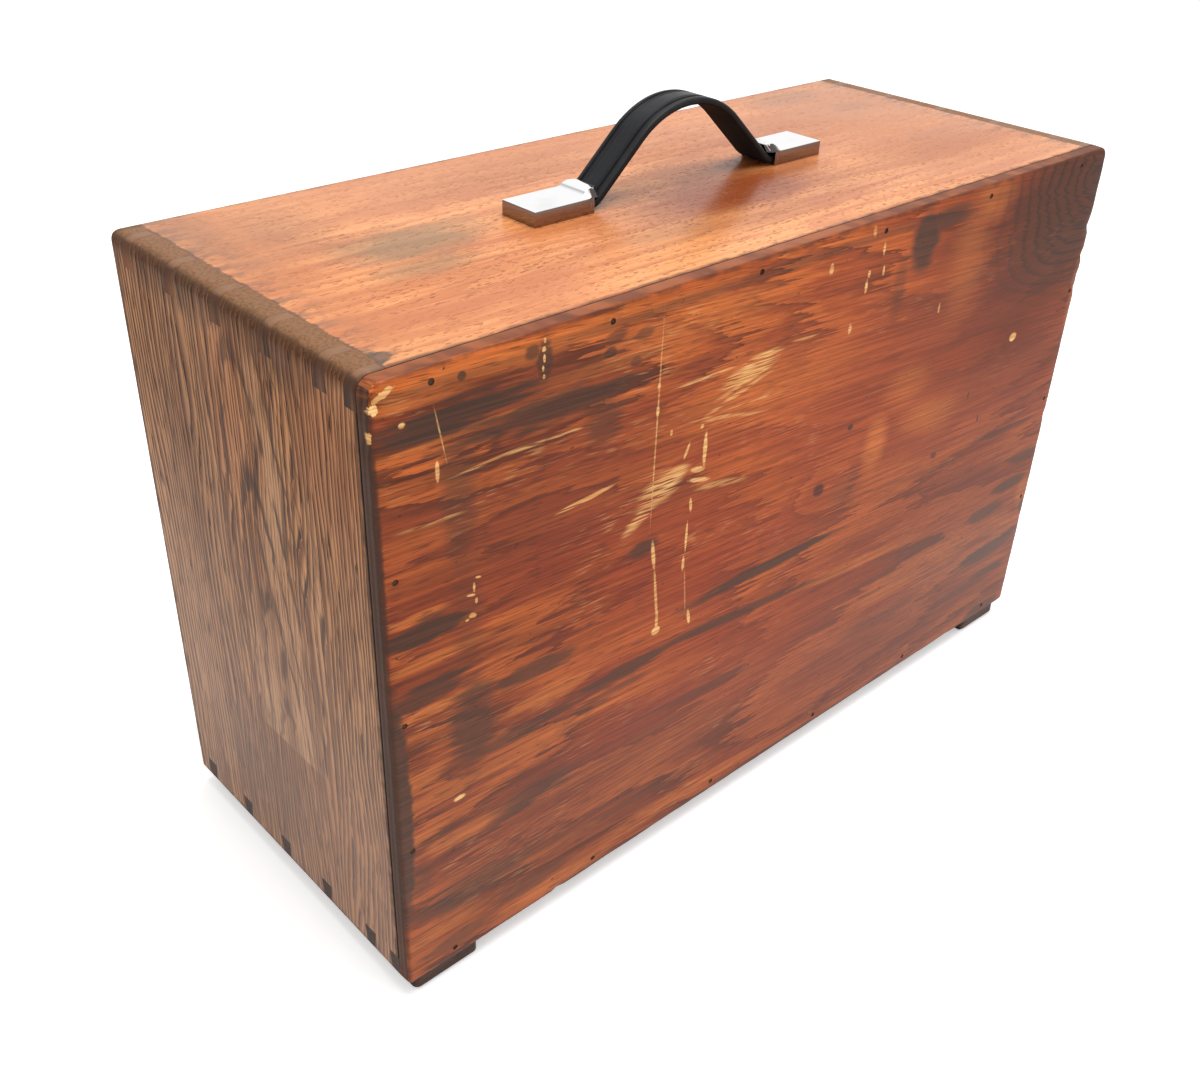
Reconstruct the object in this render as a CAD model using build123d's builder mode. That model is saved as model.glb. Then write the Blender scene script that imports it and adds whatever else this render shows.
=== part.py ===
from build123d import *
import os
from math import cos, radians, sin

# An engineer's tool chest: a dovetailed oak carcase with a plywood back planted on, four small feet
# and a strap handle. Seven drawers run on thin boards between two plywood linings. The lift-off front
# cover is put away in the slot under the bottom drawer, and the lock sits in the rail above the drawers.
# Millimetres. +Z is up, the drawers open towards -Y and the back panel faces +Y. The origin is on the
# ground, in the middle of the chest and its stowed cover.

# Driving sizes of the carcase
chest_width = 476.0
carcase_height = 298.0
carcase_depth = 184.5
board = 13.0
back_thickness = 7.0
lining_thickness = 6.0
joint_gap = 0.12
side_edge_round = 6.0
back_top_round = 4.0
edge_round = 2.0

# Dovetails, counted from the back
first_pin = 22.5
pin_pitch = 37.0
pin_count = 5
pin_wide = 8.5
pin_narrow = 5.5
half_pin_wide = 7.0
half_pin_narrow = 5.5

# Feet and their screws
foot_height = 10.0
foot_size = 36.0
foot_inset = 5.0
foot_back_inset = 2.5
foot_corner = 3.0
foot_edge = 2.0
foot_screw_radius = 1.7
foot_screw_head = 3.4
foot_screw_length = 16.0
foot_screw_spacing = 18.0

# Panel pins in the back
pin_nail_radius = 0.8
pin_nail_head = 1.4
pin_nail_length = 18.0
pin_nail_sink = 0.4
nail_columns = 6
nail_rows = 3
nail_clearance = 0.05

# Front cover, its slot and the boards that hold the drawers
cover_thickness = 9.0
cover_side_clearance = 0.75
cover_rest_gap = 0.2
cover_head_gap = 1.3
cover_top_clearance = 1.0
cover_rear_gap = 1.0
shelf_thickness = 8.0
divider_thickness = 4.0
groove_depth = 3.0
groove_gap = 0.05
rail_height = 28.0
rail_thickness = 11.5
rail_setback = 1.0
shelf_setback = 0.5
kicker_width = 14.0
peg_radius = 2.0
peg_length = 5.0
peg_bite = 10.0
peg_spacing = 300.0
peg_hole_clearance = 0.3
peg_hole_depth = 6.0
thumb_slot_length = 60.0
thumb_slot_width = 14.0
thumb_slot_depth = 4.0
thumb_slot_inset = 20.0

# Drawers
bottom_row = 56.0
lower_row = 47.0
middle_row = 40.0
partition_thickness = 6.0
drawer_front_setback = 24.0
drawer_front_thickness = 10.0
drawer_side_thickness = 7.0
drawer_back_thickness = 6.0
drawer_bottom_thickness = 3.0
drawer_bottom_height = 3.0
drawer_groove_depth = 2.5
drawer_seat_gap = 0.3
drawer_top_gap = 0.7
drawer_side_gap = 0.6
drawer_rear_gap = 2.0
drawer_back_drop = 3.0
drawer_travel = 130.0
tail_length = 6.0
tail_pitch = 15.0
tail_flare = 1.2
tail_share = 0.62
baize_thickness = 1.0
baize_gap = 0.3

# Drawer knobs
knob_length = 13.5
knob_head_radius = 7.5
knob_head_thickness = 5.0
knob_neck_radius = 3.4
knob_flange_radius = 6.0
knob_flange_thickness = 1.5
knob_screw_radius = 1.5
knob_screw_head_radius = 3.0
knob_screw_head_thickness = 1.5
knob_screw_bite = 7.0
knob_span_share = 0.55
knob_hole_clearance = 0.2

# Strap handle
strap_width = 19.5
strap_thickness = 3.4
strap_rise = 37.5
strap_crown_radius = 46.0
strap_foot_radius = 14.0
strap_slope = 42.5
strap_seat_gap = 0.3
strap_end_gap = 1.5
cap_length = 29.5
cap_width = 22.5
cap_height = 7.0
cap_wall = 1.0
cap_lip_rise = 3.5
cap_lip_length = 7.0
cap_mouth_gap = 1.5
handle_screw_radius = 1.9
handle_screw_head = 3.8
handle_screw_head_thickness = 1.4
handle_screw_length = 10.0
handle_screw_spacing = 12.0

# Lock, key and escutcheon, with depths counted back from the face of the rail
lock_case_width = 34.0
lock_case_height = 26.5
lock_front_depth = 3.0
lock_wall = 0.8
lock_plate_width = 46.0
lock_plate_thickness = 1.2
lock_gap = 0.1
bolt_width = 16.0
bolt_thickness = 3.0
bolt_height = 23.4
bolt_travel = 4.5
bolt_shoulder = 5.5
tongue_width = 6.0
key_shank_radius = 2.0
key_bit_length = 5.0
key_bit_width = 2.4
key_bit_depth = 2.6
key_bow_radius = 9.0
key_bow_hole = 5.5
key_bow_thickness = 2.6
key_reach = 22.0
key_clearance = 0.25
escutcheon_width = 15.0
escutcheon_height = 25.0
escutcheon_thickness = 1.0
escutcheon_pin_radius = 0.8
escutcheon_pin_length = 1.5
escutcheon_pin_inset = 2.0
lock_screw_radius = 1.3
lock_screw_length = 7.0
lock_screw_head_radius = 2.6
lock_screw_head_thickness = 1.0
strike_length = 34.0
strike_width = 6.0
strike_thickness = 1.2
strike_screw_length = 8.0
strike_head_radius = 2.2
strike_head_thickness = 0.8
strike_slack = 0.6
slot_width = 0.6
slot_depth = 0.5

# Places that follow from the sizes above
half_width = chest_width / 2
inner_half = half_width - board
bay_half = inner_half - lining_thickness
slot_height = cover_thickness + cover_rest_gap + cover_head_gap
carcase_bottom = foot_height
carcase_top = carcase_bottom + carcase_height
floor_top = carcase_bottom + board
shelf_bottom = floor_top + slot_height
shelf_top = shelf_bottom + shelf_thickness
roof = carcase_top - board
rail_bottom = roof - rail_height
cover_height = rail_bottom - shelf_top - cover_top_clearance
cover_reach = cover_height + peg_length + cover_rear_gap - carcase_depth
total_depth = cover_reach + carcase_depth + back_thickness
front_edge = cover_reach - total_depth / 2
carcase_back = front_edge + carcase_depth
back_face = carcase_back + back_thickness
middle_depth = (front_edge + back_face) / 2
drawer_face = front_edge + drawer_front_setback
drawer_rear = carcase_back - drawer_rear_gap
small_row = (rail_bottom - shelf_top - bottom_row - lower_row - middle_row - 4 * divider_thickness) / 2
cut_over = 1.0


def block(x_range, y_range, z_range, mode=Mode.ADD):
    """A box between two corners, in the part being built."""
    size = [high - low for low, high in (x_range, y_range, z_range)]
    middle = [(high + low) / 2 for low, high in (x_range, y_range, z_range)]
    with Locations(tuple(middle)):
        Box(*size, mode=mode)


def rounds(plane, points, radius, depth, mode=Mode.ADD):
    """Equal round bars or holes that start on a plane and run along its normal."""
    with BuildSketch(plane) as circles:
        with Locations(*points):
            Circle(radius)
    extrude(circles.sketch, amount=depth, mode=mode)


def prisms(plane, outlines, depth, mode=Mode.ADD):
    """Straight-sided outlines on a plane, each run along the plane's normal."""
    with BuildSketch(plane) as shapes:
        for points in outlines:
            with BuildLine():
                Polyline(*points, close=True)
            make_face()
    extrude(shapes.sketch, amount=depth, mode=mode)


def save(part, name):
    """Label a finished piece and write its file."""
    part.label = name
    export_step(part, f"parts/{name}.step")


# The rounded outside of the closed carcase, which every outer board is trimmed to
with BuildPart() as outside:
    with BuildSketch(Plane.XZ.offset(-back_face)) as rear_view:
        with Locations((0, carcase_bottom + carcase_height / 2)):
            Rectangle(chest_width, carcase_height)
        fillet(rear_view.vertices().group_by(Axis.Y)[-1], side_edge_round)
        fillet(rear_view.vertices().group_by(Axis.Y)[0], side_edge_round / 2)
    extrude(amount=carcase_depth + back_thickness)
    with BuildSketch(Plane.YZ.offset(-half_width)) as side_view:
        with Locations((middle_depth, carcase_bottom + carcase_height / 2)):
            Rectangle(carcase_depth + back_thickness, carcase_height)
        fillet(side_view.vertices().group_by(Axis.Y)[0], edge_round)
        fillet(side_view.vertices().group_by(Axis.Y)[-1].sort_by(Axis.X)[-1], back_top_round)
        fillet(side_view.vertices().group_by(Axis.Y)[-1].sort_by(Axis.X)[0], edge_round)
    extrude(amount=chest_width, mode=Mode.INTERSECT)
    with BuildSketch(Plane.XY.offset(carcase_bottom)):
        with Locations((0, middle_depth)):
            RectangleRounded(chest_width, carcase_depth + back_thickness, edge_round)
    extrude(amount=carcase_height, mode=Mode.INTERSECT)


def pin_outlines(outer_z, inner_z, gap):
    """Dovetail pins seen from the side: narrow at the outer face, their flanks moved out by gap."""
    outlines = []
    for index in range(pin_count):
        y = carcase_back - first_pin - index * pin_pitch
        outer = pin_narrow / 2 + gap
        inner = pin_wide / 2 + gap
        outer_edge = [(y - outer, outer_z), (y + outer, outer_z)]
        outlines.append(outer_edge + [(y + inner, inner_z), (y - inner, inner_z)])
    outer_y = carcase_back - half_pin_narrow - gap
    inner_y = carcase_back - half_pin_wide - gap
    outer_edge = [(carcase_back, outer_z), (outer_y, outer_z)]
    outlines.append(outer_edge + [(inner_y, inner_z), (carcase_back, inner_z)])
    return outlines


# Where the fasteners go
nail_x = [(index / (nail_columns - 1) - 0.5) * 2 * (inner_half - board) for index in range(nail_columns)]
nail_z = [floor_top + (index + 1) / (nail_rows + 1) * (roof - floor_top) for index in range(nail_rows)]
top_nails = [(x, carcase_top - board / 2) for x in nail_x]
bottom_nails = [(x, carcase_bottom + board / 2) for x in nail_x]
side_nails = {side: [(side * (half_width - board / 2), z) for z in nail_z] for side in (-1, 1)}
foot_x = half_width - foot_inset - foot_size / 2
foot_rear_y = back_face - foot_back_inset - foot_size / 2
foot_front_y = front_edge + foot_back_inset + foot_size / 2
foot_centres = [(side * foot_x, y) for side in (-1, 1) for y in (foot_front_y, foot_rear_y)]
half_spacing = foot_screw_spacing / 2
foot_screws_at = [(x, y + step) for x, y in foot_centres for step in (-half_spacing, half_spacing)]
strap_angle = radians(strap_slope)
strap_turn = strap_crown_radius + strap_foot_radius
strap_flank = (strap_rise - strap_turn * (1 - cos(strap_angle))) / sin(strap_angle)
strap_foot_x = strap_turn * sin(strap_angle) + strap_flank * cos(strap_angle)
cap_mouth = strap_foot_x + cap_mouth_gap
cap_end = cap_mouth + cap_length
strap_end = cap_end - cap_wall - strap_end_gap
strap_bottom = carcase_top + strap_seat_gap
strap_top = strap_bottom + strap_thickness
handle_screw_middle = (cap_mouth + strap_end) / 2 + cap_lip_length / 3
handle_screws_at = [
    (side * (handle_screw_middle + step), middle_depth)
    for side in (-1, 1)
    for step in (-handle_screw_spacing / 2, handle_screw_spacing / 2)
]
back_plane = Plane.XZ.offset(-back_face)
handle_screw_bite = handle_screw_length - strap_thickness - strap_seat_gap
foot_screw_bite = foot_screw_length - foot_height


def cut_nail_holes(points):
    """Holes for the panel pins, driven from the back face."""
    rounds(back_plane, points, pin_nail_radius + nail_clearance, pin_nail_length + cut_over, Mode.SUBTRACT)


with BuildPart() as top_board:
    block((-inner_half, inner_half), (front_edge, carcase_back), (roof, carcase_top))
    prisms(Plane.YZ.offset(-half_width), pin_outlines(carcase_top, roof, 0), chest_width)
    add(outside.part, mode=Mode.INTERSECT)
    cut_nail_holes(top_nails)
    screw_hole = handle_screw_radius + nail_clearance
    screw_plane = Plane.XY.offset(carcase_top - handle_screw_bite - nail_clearance)
    rounds(screw_plane, handle_screws_at, screw_hole, handle_screw_bite + cut_over, Mode.SUBTRACT)
save(top_board.part, "top_board")

with BuildPart() as bottom_board:
    block((-inner_half, inner_half), (front_edge, carcase_back), (carcase_bottom, floor_top))
    prisms(Plane.YZ.offset(-half_width), pin_outlines(carcase_bottom, floor_top, 0), chest_width)
    add(outside.part, mode=Mode.INTERSECT)
    cut_nail_holes(bottom_nails)
    screw_hole = foot_screw_radius + nail_clearance
    screw_plane = Plane.XY.offset(carcase_bottom - cut_over)
    screw_depth = foot_screw_bite + cut_over + nail_clearance
    rounds(screw_plane, foot_screws_at, screw_hole, screw_depth, Mode.SUBTRACT)
save(bottom_board.part, "bottom_board")

for side_name, side in (("left", -1), ("right", 1)):
    side_faces = sorted((side * inner_half, side * half_width))
    with BuildPart() as side_board:
        block(side_faces, (front_edge, carcase_back), (carcase_bottom, carcase_top))
        for outer_z, inner_z in ((carcase_top, roof), (carcase_bottom, floor_top)):
            sockets = pin_outlines(outer_z, inner_z, joint_gap)
            prisms(Plane.YZ.offset(side_faces[0]), sockets, board, Mode.SUBTRACT)
        add(outside.part, mode=Mode.INTERSECT)
        cut_nail_holes(side_nails[side])
    save(side_board.part, f"{side_name}_side")

with BuildPart() as back_panel:
    block((-half_width, half_width), (carcase_back, back_face), (carcase_bottom, carcase_top))
    add(outside.part, mode=Mode.INTERSECT)
    all_nails = top_nails + bottom_nails + side_nails[-1] + side_nails[1]
    cut_nail_holes(all_nails)
    head_depth = pin_nail_sink + pin_nail_head
    rounds(back_plane, all_nails, pin_nail_head + nail_clearance, head_depth, Mode.SUBTRACT)
save(back_panel.part, "back_panel")

with BuildPart() as back_panel_pins:
    head_plane = Plane.XZ.offset(-(back_face - pin_nail_sink))
    rounds(head_plane, all_nails, pin_nail_head, pin_nail_head)
    rounds(head_plane, all_nails, pin_nail_radius, pin_nail_length - pin_nail_sink)
save(back_panel_pins.part, "back_panel_pins")

with BuildPart() as feet:
    with BuildSketch(Plane.XY):
        with Locations(*foot_centres):
            RectangleRounded(foot_size, foot_size, foot_corner)
    extrude(amount=foot_height)
    chamfer(feet.edges().group_by(Axis.Z)[0], foot_edge)
    rounds(Plane.XY, foot_screws_at, foot_screw_radius + nail_clearance, foot_height, Mode.SUBTRACT)
    sink = foot_screw_head - foot_screw_radius
    with Locations(*[(x, y, 0) for x, y in foot_screws_at]):
        Cone(
            foot_screw_head + nail_clearance,
            foot_screw_radius + nail_clearance,
            sink,
            align=(Align.CENTER, Align.CENTER, Align.MIN),
            mode=Mode.SUBTRACT,
        )
save(feet.part, "feet")

with BuildPart() as foot_screws:
    with Locations(*[(x, y, 0) for x, y in foot_screws_at]):
        head_align = (Align.CENTER, Align.CENTER, Align.MIN)
        Cone(foot_screw_head, foot_screw_radius, sink, align=head_align)
        Cylinder(foot_screw_radius, foot_screw_length, align=head_align)
        Box(2 * foot_screw_head, slot_width, 2 * slot_depth, mode=Mode.SUBTRACT)
save(foot_screws.part, "foot_screws")


# Inner boards. Each one is housed in grooves in the two linings.
row_heights = [bottom_row, lower_row, middle_row, small_row, small_row]
row_floors = []
next_floor = shelf_top
for row_height in row_heights:
    row_floors.append(next_floor)
    next_floor += row_height + divider_thickness
divider_levels = [floor - divider_thickness for floor in row_floors[1:]]
housed_half = bay_half + groove_depth - groove_gap

for side_name, side in (("left", -1), ("right", 1)):
    lining_faces = sorted((side * bay_half, side * inner_half))
    groove_faces = sorted((side * (bay_half - cut_over), side * (bay_half + groove_depth)))
    with BuildPart() as lining:
        block(lining_faces, (front_edge + edge_round, carcase_back), (floor_top, roof))
        shelf_span = (shelf_bottom - groove_gap, shelf_top + groove_gap)
        block(groove_faces, (front_edge, carcase_back), shelf_span, Mode.SUBTRACT)
        for level in divider_levels:
            groove_span = (level - groove_gap, level + divider_thickness + groove_gap)
            block(groove_faces, (drawer_face, carcase_back), groove_span, Mode.SUBTRACT)
        top_span = (rail_bottom - groove_gap, rail_bottom + divider_thickness + groove_gap)
        lock_rear = front_edge + rail_thickness + lock_plate_thickness + groove_gap
        block(groove_faces, (lock_rear, carcase_back), top_span, Mode.SUBTRACT)
    save(lining.part, f"{side_name}_lining")

cover_mid_y = front_edge + cover_thickness / 2
with BuildPart() as cover_shelf:
    shelf_y = (front_edge + shelf_setback, carcase_back)
    block((-housed_half, housed_half), shelf_y, (shelf_bottom, shelf_top))
    peg_places = [(side * peg_spacing / 2, cover_mid_y) for side in (-1, 1)]
    peg_hole_plane = Plane.XY.offset(shelf_top - peg_hole_depth)
    rounds(peg_hole_plane, peg_places, peg_radius + peg_hole_clearance, peg_hole_depth, Mode.SUBTRACT)
save(cover_shelf.part, "cover_shelf")

with BuildPart() as drawer_dividers:
    for level in divider_levels:
        level_span = (level, level + divider_thickness)
        block((-housed_half, housed_half), (drawer_face, carcase_back), level_span)
save(drawer_dividers.part, "drawer_dividers")

with BuildPart() as partitions_kickers:
    half_partition = partition_thickness / 2
    for floor in row_floors[3:]:
        partition_span = (floor, floor + small_row - groove_gap)
        block((-half_partition, half_partition), (drawer_face, carcase_back), partition_span)
    kicker_z = (rail_bottom, rail_bottom + divider_thickness)
    for kicker_x in (
        (-housed_half, -bay_half + kicker_width),
        (-kicker_width / 2, kicker_width / 2),
        (bay_half - kicker_width, housed_half),
    ):
        block(kicker_x, (lock_rear, carcase_back), kicker_z)
save(partitions_kickers.part, "partitions_kickers")


# Lock, key and rail, with places counted back from the face of the rail
key_z = rail_bottom + rail_height / 2
case_front = front_edge + lock_front_depth
case_back = front_edge + rail_thickness
bolt_front = case_front + lock_wall + lock_gap
bolt_back = bolt_front + bolt_thickness
bit_front = bolt_back + 2 * lock_gap
bit_back = bit_front + key_bit_depth
case_half = lock_case_width / 2
case_top = rail_bottom + lock_case_height
plate_half = lock_plate_width / 2
lock_screw_x = (case_half + plate_half) / 2
lock_screws_at = [(side * lock_screw_x, rail_bottom + lock_case_height / 2) for side in (-1, 1)]


def keyhole(plane, depth, clearance):
    """Cut a round hole for the key's shank with a slot below it for the bit."""
    with BuildSketch(plane) as hole:
        with Locations((0, key_z)):
            Circle(key_shank_radius + clearance)
        slot_drop = key_bit_length + clearance
        with Locations((0, key_z - slot_drop / 2)):
            Rectangle(key_bit_width + 2 * clearance, slot_drop)
    extrude(hole.sketch, amount=depth, mode=Mode.SUBTRACT)


screw_hole = lock_screw_radius + nail_clearance
pin_hole = escutcheon_pin_radius + nail_clearance
pin_offset = escutcheon_height / 2 - escutcheon_pin_inset
escutcheon_pins_at = [(0, key_z - pin_offset), (0, key_z + pin_offset)]
rail_face = front_edge + rail_setback

with BuildPart() as front_rail:
    block((-bay_half, bay_half), (rail_face, case_back), (rail_bottom, roof))
    pocket_half = case_half + lock_gap
    pocket_y = (case_front - lock_gap, case_back)
    block((-pocket_half, pocket_half), pocket_y, (rail_bottom, case_top + lock_gap), Mode.SUBTRACT)
    keyhole(Plane.XZ.offset(-case_front), lock_front_depth + cut_over, 2 * key_clearance)
    screw_room = lock_screw_length + nail_clearance
    rounds(Plane.XZ.offset(-case_back), lock_screws_at, screw_hole, screw_room, Mode.SUBTRACT)
    pin_end_plane = Plane.XZ.offset(-(rail_face + escutcheon_pin_length))
    rounds(pin_end_plane, escutcheon_pins_at, pin_hole, escutcheon_pin_length + cut_over, Mode.SUBTRACT)
save(front_rail.part, "front_rail")

with BuildPart() as lock_case:
    block((-case_half, case_half), (case_front, case_back), (rail_bottom, case_top))
    plate_y = (case_back, case_back + lock_plate_thickness)
    block((-plate_half, plate_half), plate_y, (rail_bottom, case_top))
    bolt_room = (bolt_front - lock_gap, bolt_back + lock_gap)
    body_room = bolt_width / 2 + lock_gap
    body_floor = rail_bottom + bolt_shoulder - bolt_travel - lock_gap
    block((-body_room, body_room), bolt_room, (body_floor, case_top - lock_wall), Mode.SUBTRACT)
    tongue_room = tongue_width / 2 + lock_gap
    block((-tongue_room, tongue_room), bolt_room, (rail_bottom, body_floor), Mode.SUBTRACT)
    chamber_plane = Plane.XZ.offset(-(bit_back + lock_gap))
    keyhole(chamber_plane, rail_thickness, key_clearance)
    chamber_depth = key_bit_depth + 2 * lock_gap
    rounds(chamber_plane, [(0, key_z)], key_bit_length + 2 * key_clearance, chamber_depth, Mode.SUBTRACT)
    rounds(Plane.XZ.offset(-plate_y[1]), lock_screws_at, screw_hole, lock_plate_thickness, Mode.SUBTRACT)
    screw_back = plate_y[1] + lock_screw_head_thickness
    rounds(Plane.XZ.offset(-screw_back), lock_screws_at, lock_screw_head_radius, lock_screw_head_thickness)
    shank_run = lock_screw_length + lock_plate_thickness
    rounds(Plane.XZ.offset(-plate_y[1]), lock_screws_at, lock_screw_radius, shank_run)
save(lock_case.part, "lock_case")

with BuildPart() as lock_bolt:
    bolt_low = rail_bottom + lock_gap
    bolt_y = (bolt_front, bolt_back)
    shoulder_z = rail_bottom + bolt_shoulder
    block((-bolt_width / 2, bolt_width / 2), bolt_y, (shoulder_z, rail_bottom + bolt_height))
    block((-tongue_width / 2, tongue_width / 2), bolt_y, (bolt_low, shoulder_z))
    window_half = key_shank_radius + 4 * key_clearance
    window_low = key_z - key_bit_length - 2 * key_clearance
    window_high = key_z + key_shank_radius + bolt_travel + key_clearance
    window_y = (bolt_front - cut_over, bolt_back + cut_over)
    block((-window_half, window_half), window_y, (window_low, window_high), Mode.SUBTRACT)
save(lock_bolt.part, "lock_bolt")

with BuildPart() as key:
    bow_y = front_edge - key_reach
    rounds(Plane.XZ.offset(-bit_back), [(0, key_z)], key_shank_radius, bit_back - bow_y)
    bit_x = key_bit_width / 2
    block((-bit_x, bit_x), (bit_front, bit_back), (key_z - key_bit_length, key_z))
    with BuildSketch(Plane.YZ.offset(-key_bow_thickness / 2)):
        with Locations((bow_y - key_bow_radius + key_shank_radius, key_z)):
            Circle(key_bow_radius)
            Circle(key_bow_hole, mode=Mode.SUBTRACT)
    extrude(amount=key_bow_thickness)
save(key.part, "key")

with BuildPart() as escutcheon:
    with BuildSketch(Plane.XZ.offset(-rail_face)):
        with Locations((0, key_z)):
            Ellipse(escutcheon_width / 2, escutcheon_height / 2)
    extrude(amount=escutcheon_thickness)
    keyhole(Plane.XZ.offset(-(rail_face + cut_over)), escutcheon_thickness + 2 * cut_over, key_clearance)
    rounds(Plane.XZ.offset(-rail_face), escutcheon_pins_at, pin_hole, escutcheon_thickness, Mode.SUBTRACT)
    pin_start_plane = Plane.XZ.offset(-(rail_face + escutcheon_pin_length - nail_clearance))
    pin_run = escutcheon_pin_length + escutcheon_thickness
    rounds(pin_start_plane, escutcheon_pins_at, escutcheon_pin_radius, pin_run)
save(escutcheon.part, "escutcheon")


# The front cover lies in its slot, outer face up, with its pegs towards the back
cover_half = bay_half - cover_side_clearance
cover_low = floor_top + cover_rest_gap
cover_high = cover_low + cover_thickness
cover_end = front_edge - cover_reach
cover_rear = cover_end + cover_height
cover_middle_z = (cover_low + cover_high) / 2
pegs_at = [(side * peg_spacing / 2, cover_middle_z) for side in (-1, 1)]
strike_at = cover_high - ((bolt_front + bolt_back) / 2 - front_edge)
strike_room_half = tongue_width / 2 + strike_slack
strike_half = strike_length / 2
strike_screw_x = (strike_room_half + strike_half) / 2
strike_screws_at = [(side * strike_screw_x, strike_at) for side in (-1, 1)]
strike_z = (strike_at - strike_width / 2, strike_at + strike_width / 2)
bolt_hole_half = bolt_thickness / 2 + strike_slack
bolt_hole_z = (strike_at - bolt_hole_half, strike_at + bolt_hole_half)
bolt_hole_y = (cover_end, cover_end + strike_thickness + bolt_travel)
strike_back = cover_end + strike_thickness
strike_screw_plane = Plane.XZ.offset(-(cover_end + strike_screw_length))

with BuildPart() as cover_panel:
    block((-cover_half, cover_half), (cover_end, cover_rear), (cover_low, cover_high))
    fillet(cover_panel.edges().filter_by(Axis.X).group_by(Axis.Z)[-1], edge_round / 2)
    rounds(Plane.XZ.offset(-cover_rear), pegs_at, peg_radius + nail_clearance, peg_bite, Mode.SUBTRACT)
    block((-strike_half, strike_half), (cover_end, strike_back), strike_z, Mode.SUBTRACT)
    block((-strike_room_half, strike_room_half), bolt_hole_y, bolt_hole_z, Mode.SUBTRACT)
    rounds(strike_screw_plane, strike_screws_at, screw_hole, strike_screw_length, Mode.SUBTRACT)
    with BuildSketch(Plane.XY.offset(cover_high - thumb_slot_depth)):
        with Locations((0, cover_end + thumb_slot_inset)):
            SlotOverall(thumb_slot_length, thumb_slot_width)
    extrude(amount=thumb_slot_depth, mode=Mode.SUBTRACT)
save(cover_panel.part, "cover_panel")

with BuildPart() as cover_pegs:
    rounds(Plane.XZ.offset(-(cover_rear + peg_length)), pegs_at, peg_radius, peg_length + peg_bite)
    chamfer(cover_pegs.edges().group_by(Axis.Y)[-1], peg_radius / 4)
save(cover_pegs.part, "cover_pegs")

with BuildPart() as cover_strike:
    plate_z = (strike_z[0] + nail_clearance, strike_z[1] - nail_clearance)
    plate_x = strike_half - nail_clearance
    block((-plate_x, plate_x), (cover_end, strike_back), plate_z)
    block((-strike_room_half, strike_room_half), (cover_end, strike_back), bolt_hole_z, Mode.SUBTRACT)
    rounds(strike_screw_plane, strike_screws_at, screw_hole, strike_screw_length, Mode.SUBTRACT)
    head_plane = Plane.XZ.offset(-(cover_end + strike_head_thickness))
    head_hole = strike_head_radius + nail_clearance
    rounds(head_plane, strike_screws_at, head_hole, strike_head_thickness, Mode.SUBTRACT)
    rounds(head_plane, strike_screws_at, strike_head_radius, strike_head_thickness)
    rounds(strike_screw_plane, strike_screws_at, lock_screw_radius, strike_screw_length)
save(cover_strike.part, "cover_strike")


# Strap handle
def strap_edge(offset_up):
    """One long edge of the strap's side view, that far above its middle line."""
    level = strap_bottom + strap_thickness / 2 + offset_up
    foot_radius = strap_foot_radius - offset_up
    crown_radius = strap_crown_radius + offset_up
    flat_in = Line((-strap_end, level), (-strap_foot_x, level))
    rise = JernArc(flat_in @ 1, flat_in % 1, foot_radius, strap_slope)
    climb = PolarLine(rise @ 1, strap_flank, direction=rise % 1)
    crown = JernArc(climb @ 1, climb % 1, crown_radius, -2 * strap_slope)
    descent = PolarLine(crown @ 1, strap_flank, direction=crown % 1)
    settle = JernArc(descent @ 1, descent % 1, foot_radius, strap_slope)
    flat_out = Line(settle @ 1, (strap_end, level))
    return flat_in @ 0, flat_out @ 1


with BuildPart() as handle_strap:
    with BuildSketch(Plane.XZ.offset(-(middle_depth + strap_width / 2))):
        with BuildLine():
            upper_start, upper_end = strap_edge(strap_thickness / 2)
            lower_start, lower_end = strap_edge(-strap_thickness / 2)
            Line(upper_start, lower_start)
            Line(upper_end, lower_end)
        make_face()
    extrude(amount=strap_width)
    strap_plane = Plane.XY.offset(strap_bottom)
    strap_hole = handle_screw_radius + nail_clearance
    rounds(strap_plane, handle_screws_at, strap_hole, strap_thickness, Mode.SUBTRACT)
save(handle_strap.part, "handle_strap")


def cap_body(side, wall, mode):
    """The cap's side view, shrunk by its wall, run across the strap."""
    top = carcase_top + cap_height - wall
    end = side * (cap_end - wall)
    width = cap_width - 2 * wall
    with BuildSketch(Plane.XZ.offset(-(middle_depth + width / 2))) as view:
        with BuildLine():
            base = Line((side * cap_mouth, carcase_top), (end, carcase_top))
            rear = Line(base @ 1, (end, top))
            crest = Line(rear @ 1, (side * (cap_mouth + cap_lip_length), top))
            lip_point = (side * cap_mouth, top + cap_lip_rise)
            lip = Spline(crest @ 1, lip_point, tangents=(crest % 1, (-side, 1)))
            Line(lip @ 1, base @ 0)
        make_face()
    extrude(view.sketch, amount=width, mode=mode)


for side_name, side in (("left", -1), ("right", 1)):
    with BuildPart() as cap:
        cap_body(side, 0, Mode.ADD)
        cap_body(side, cap_wall, Mode.SUBTRACT)
    save(cap.part, f"handle_cap_{side_name}")

with BuildPart() as handle_screws:
    rounds(Plane.XY.offset(strap_top), handle_screws_at, handle_screw_head, handle_screw_head_thickness)
    tip_plane = Plane.XY.offset(carcase_top - handle_screw_bite)
    rounds(tip_plane, handle_screws_at, handle_screw_radius, strap_top + handle_screw_bite - carcase_top)
    slot_plane = Plane.XY.offset(strap_top + handle_screw_head_thickness - slot_depth)
    with BuildSketch(slot_plane):
        with Locations(*handle_screws_at):
            Rectangle(2 * handle_screw_head, slot_width)
    extrude(amount=slot_depth, mode=Mode.SUBTRACT)
save(handle_screws.part, "handle_screws")


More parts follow.
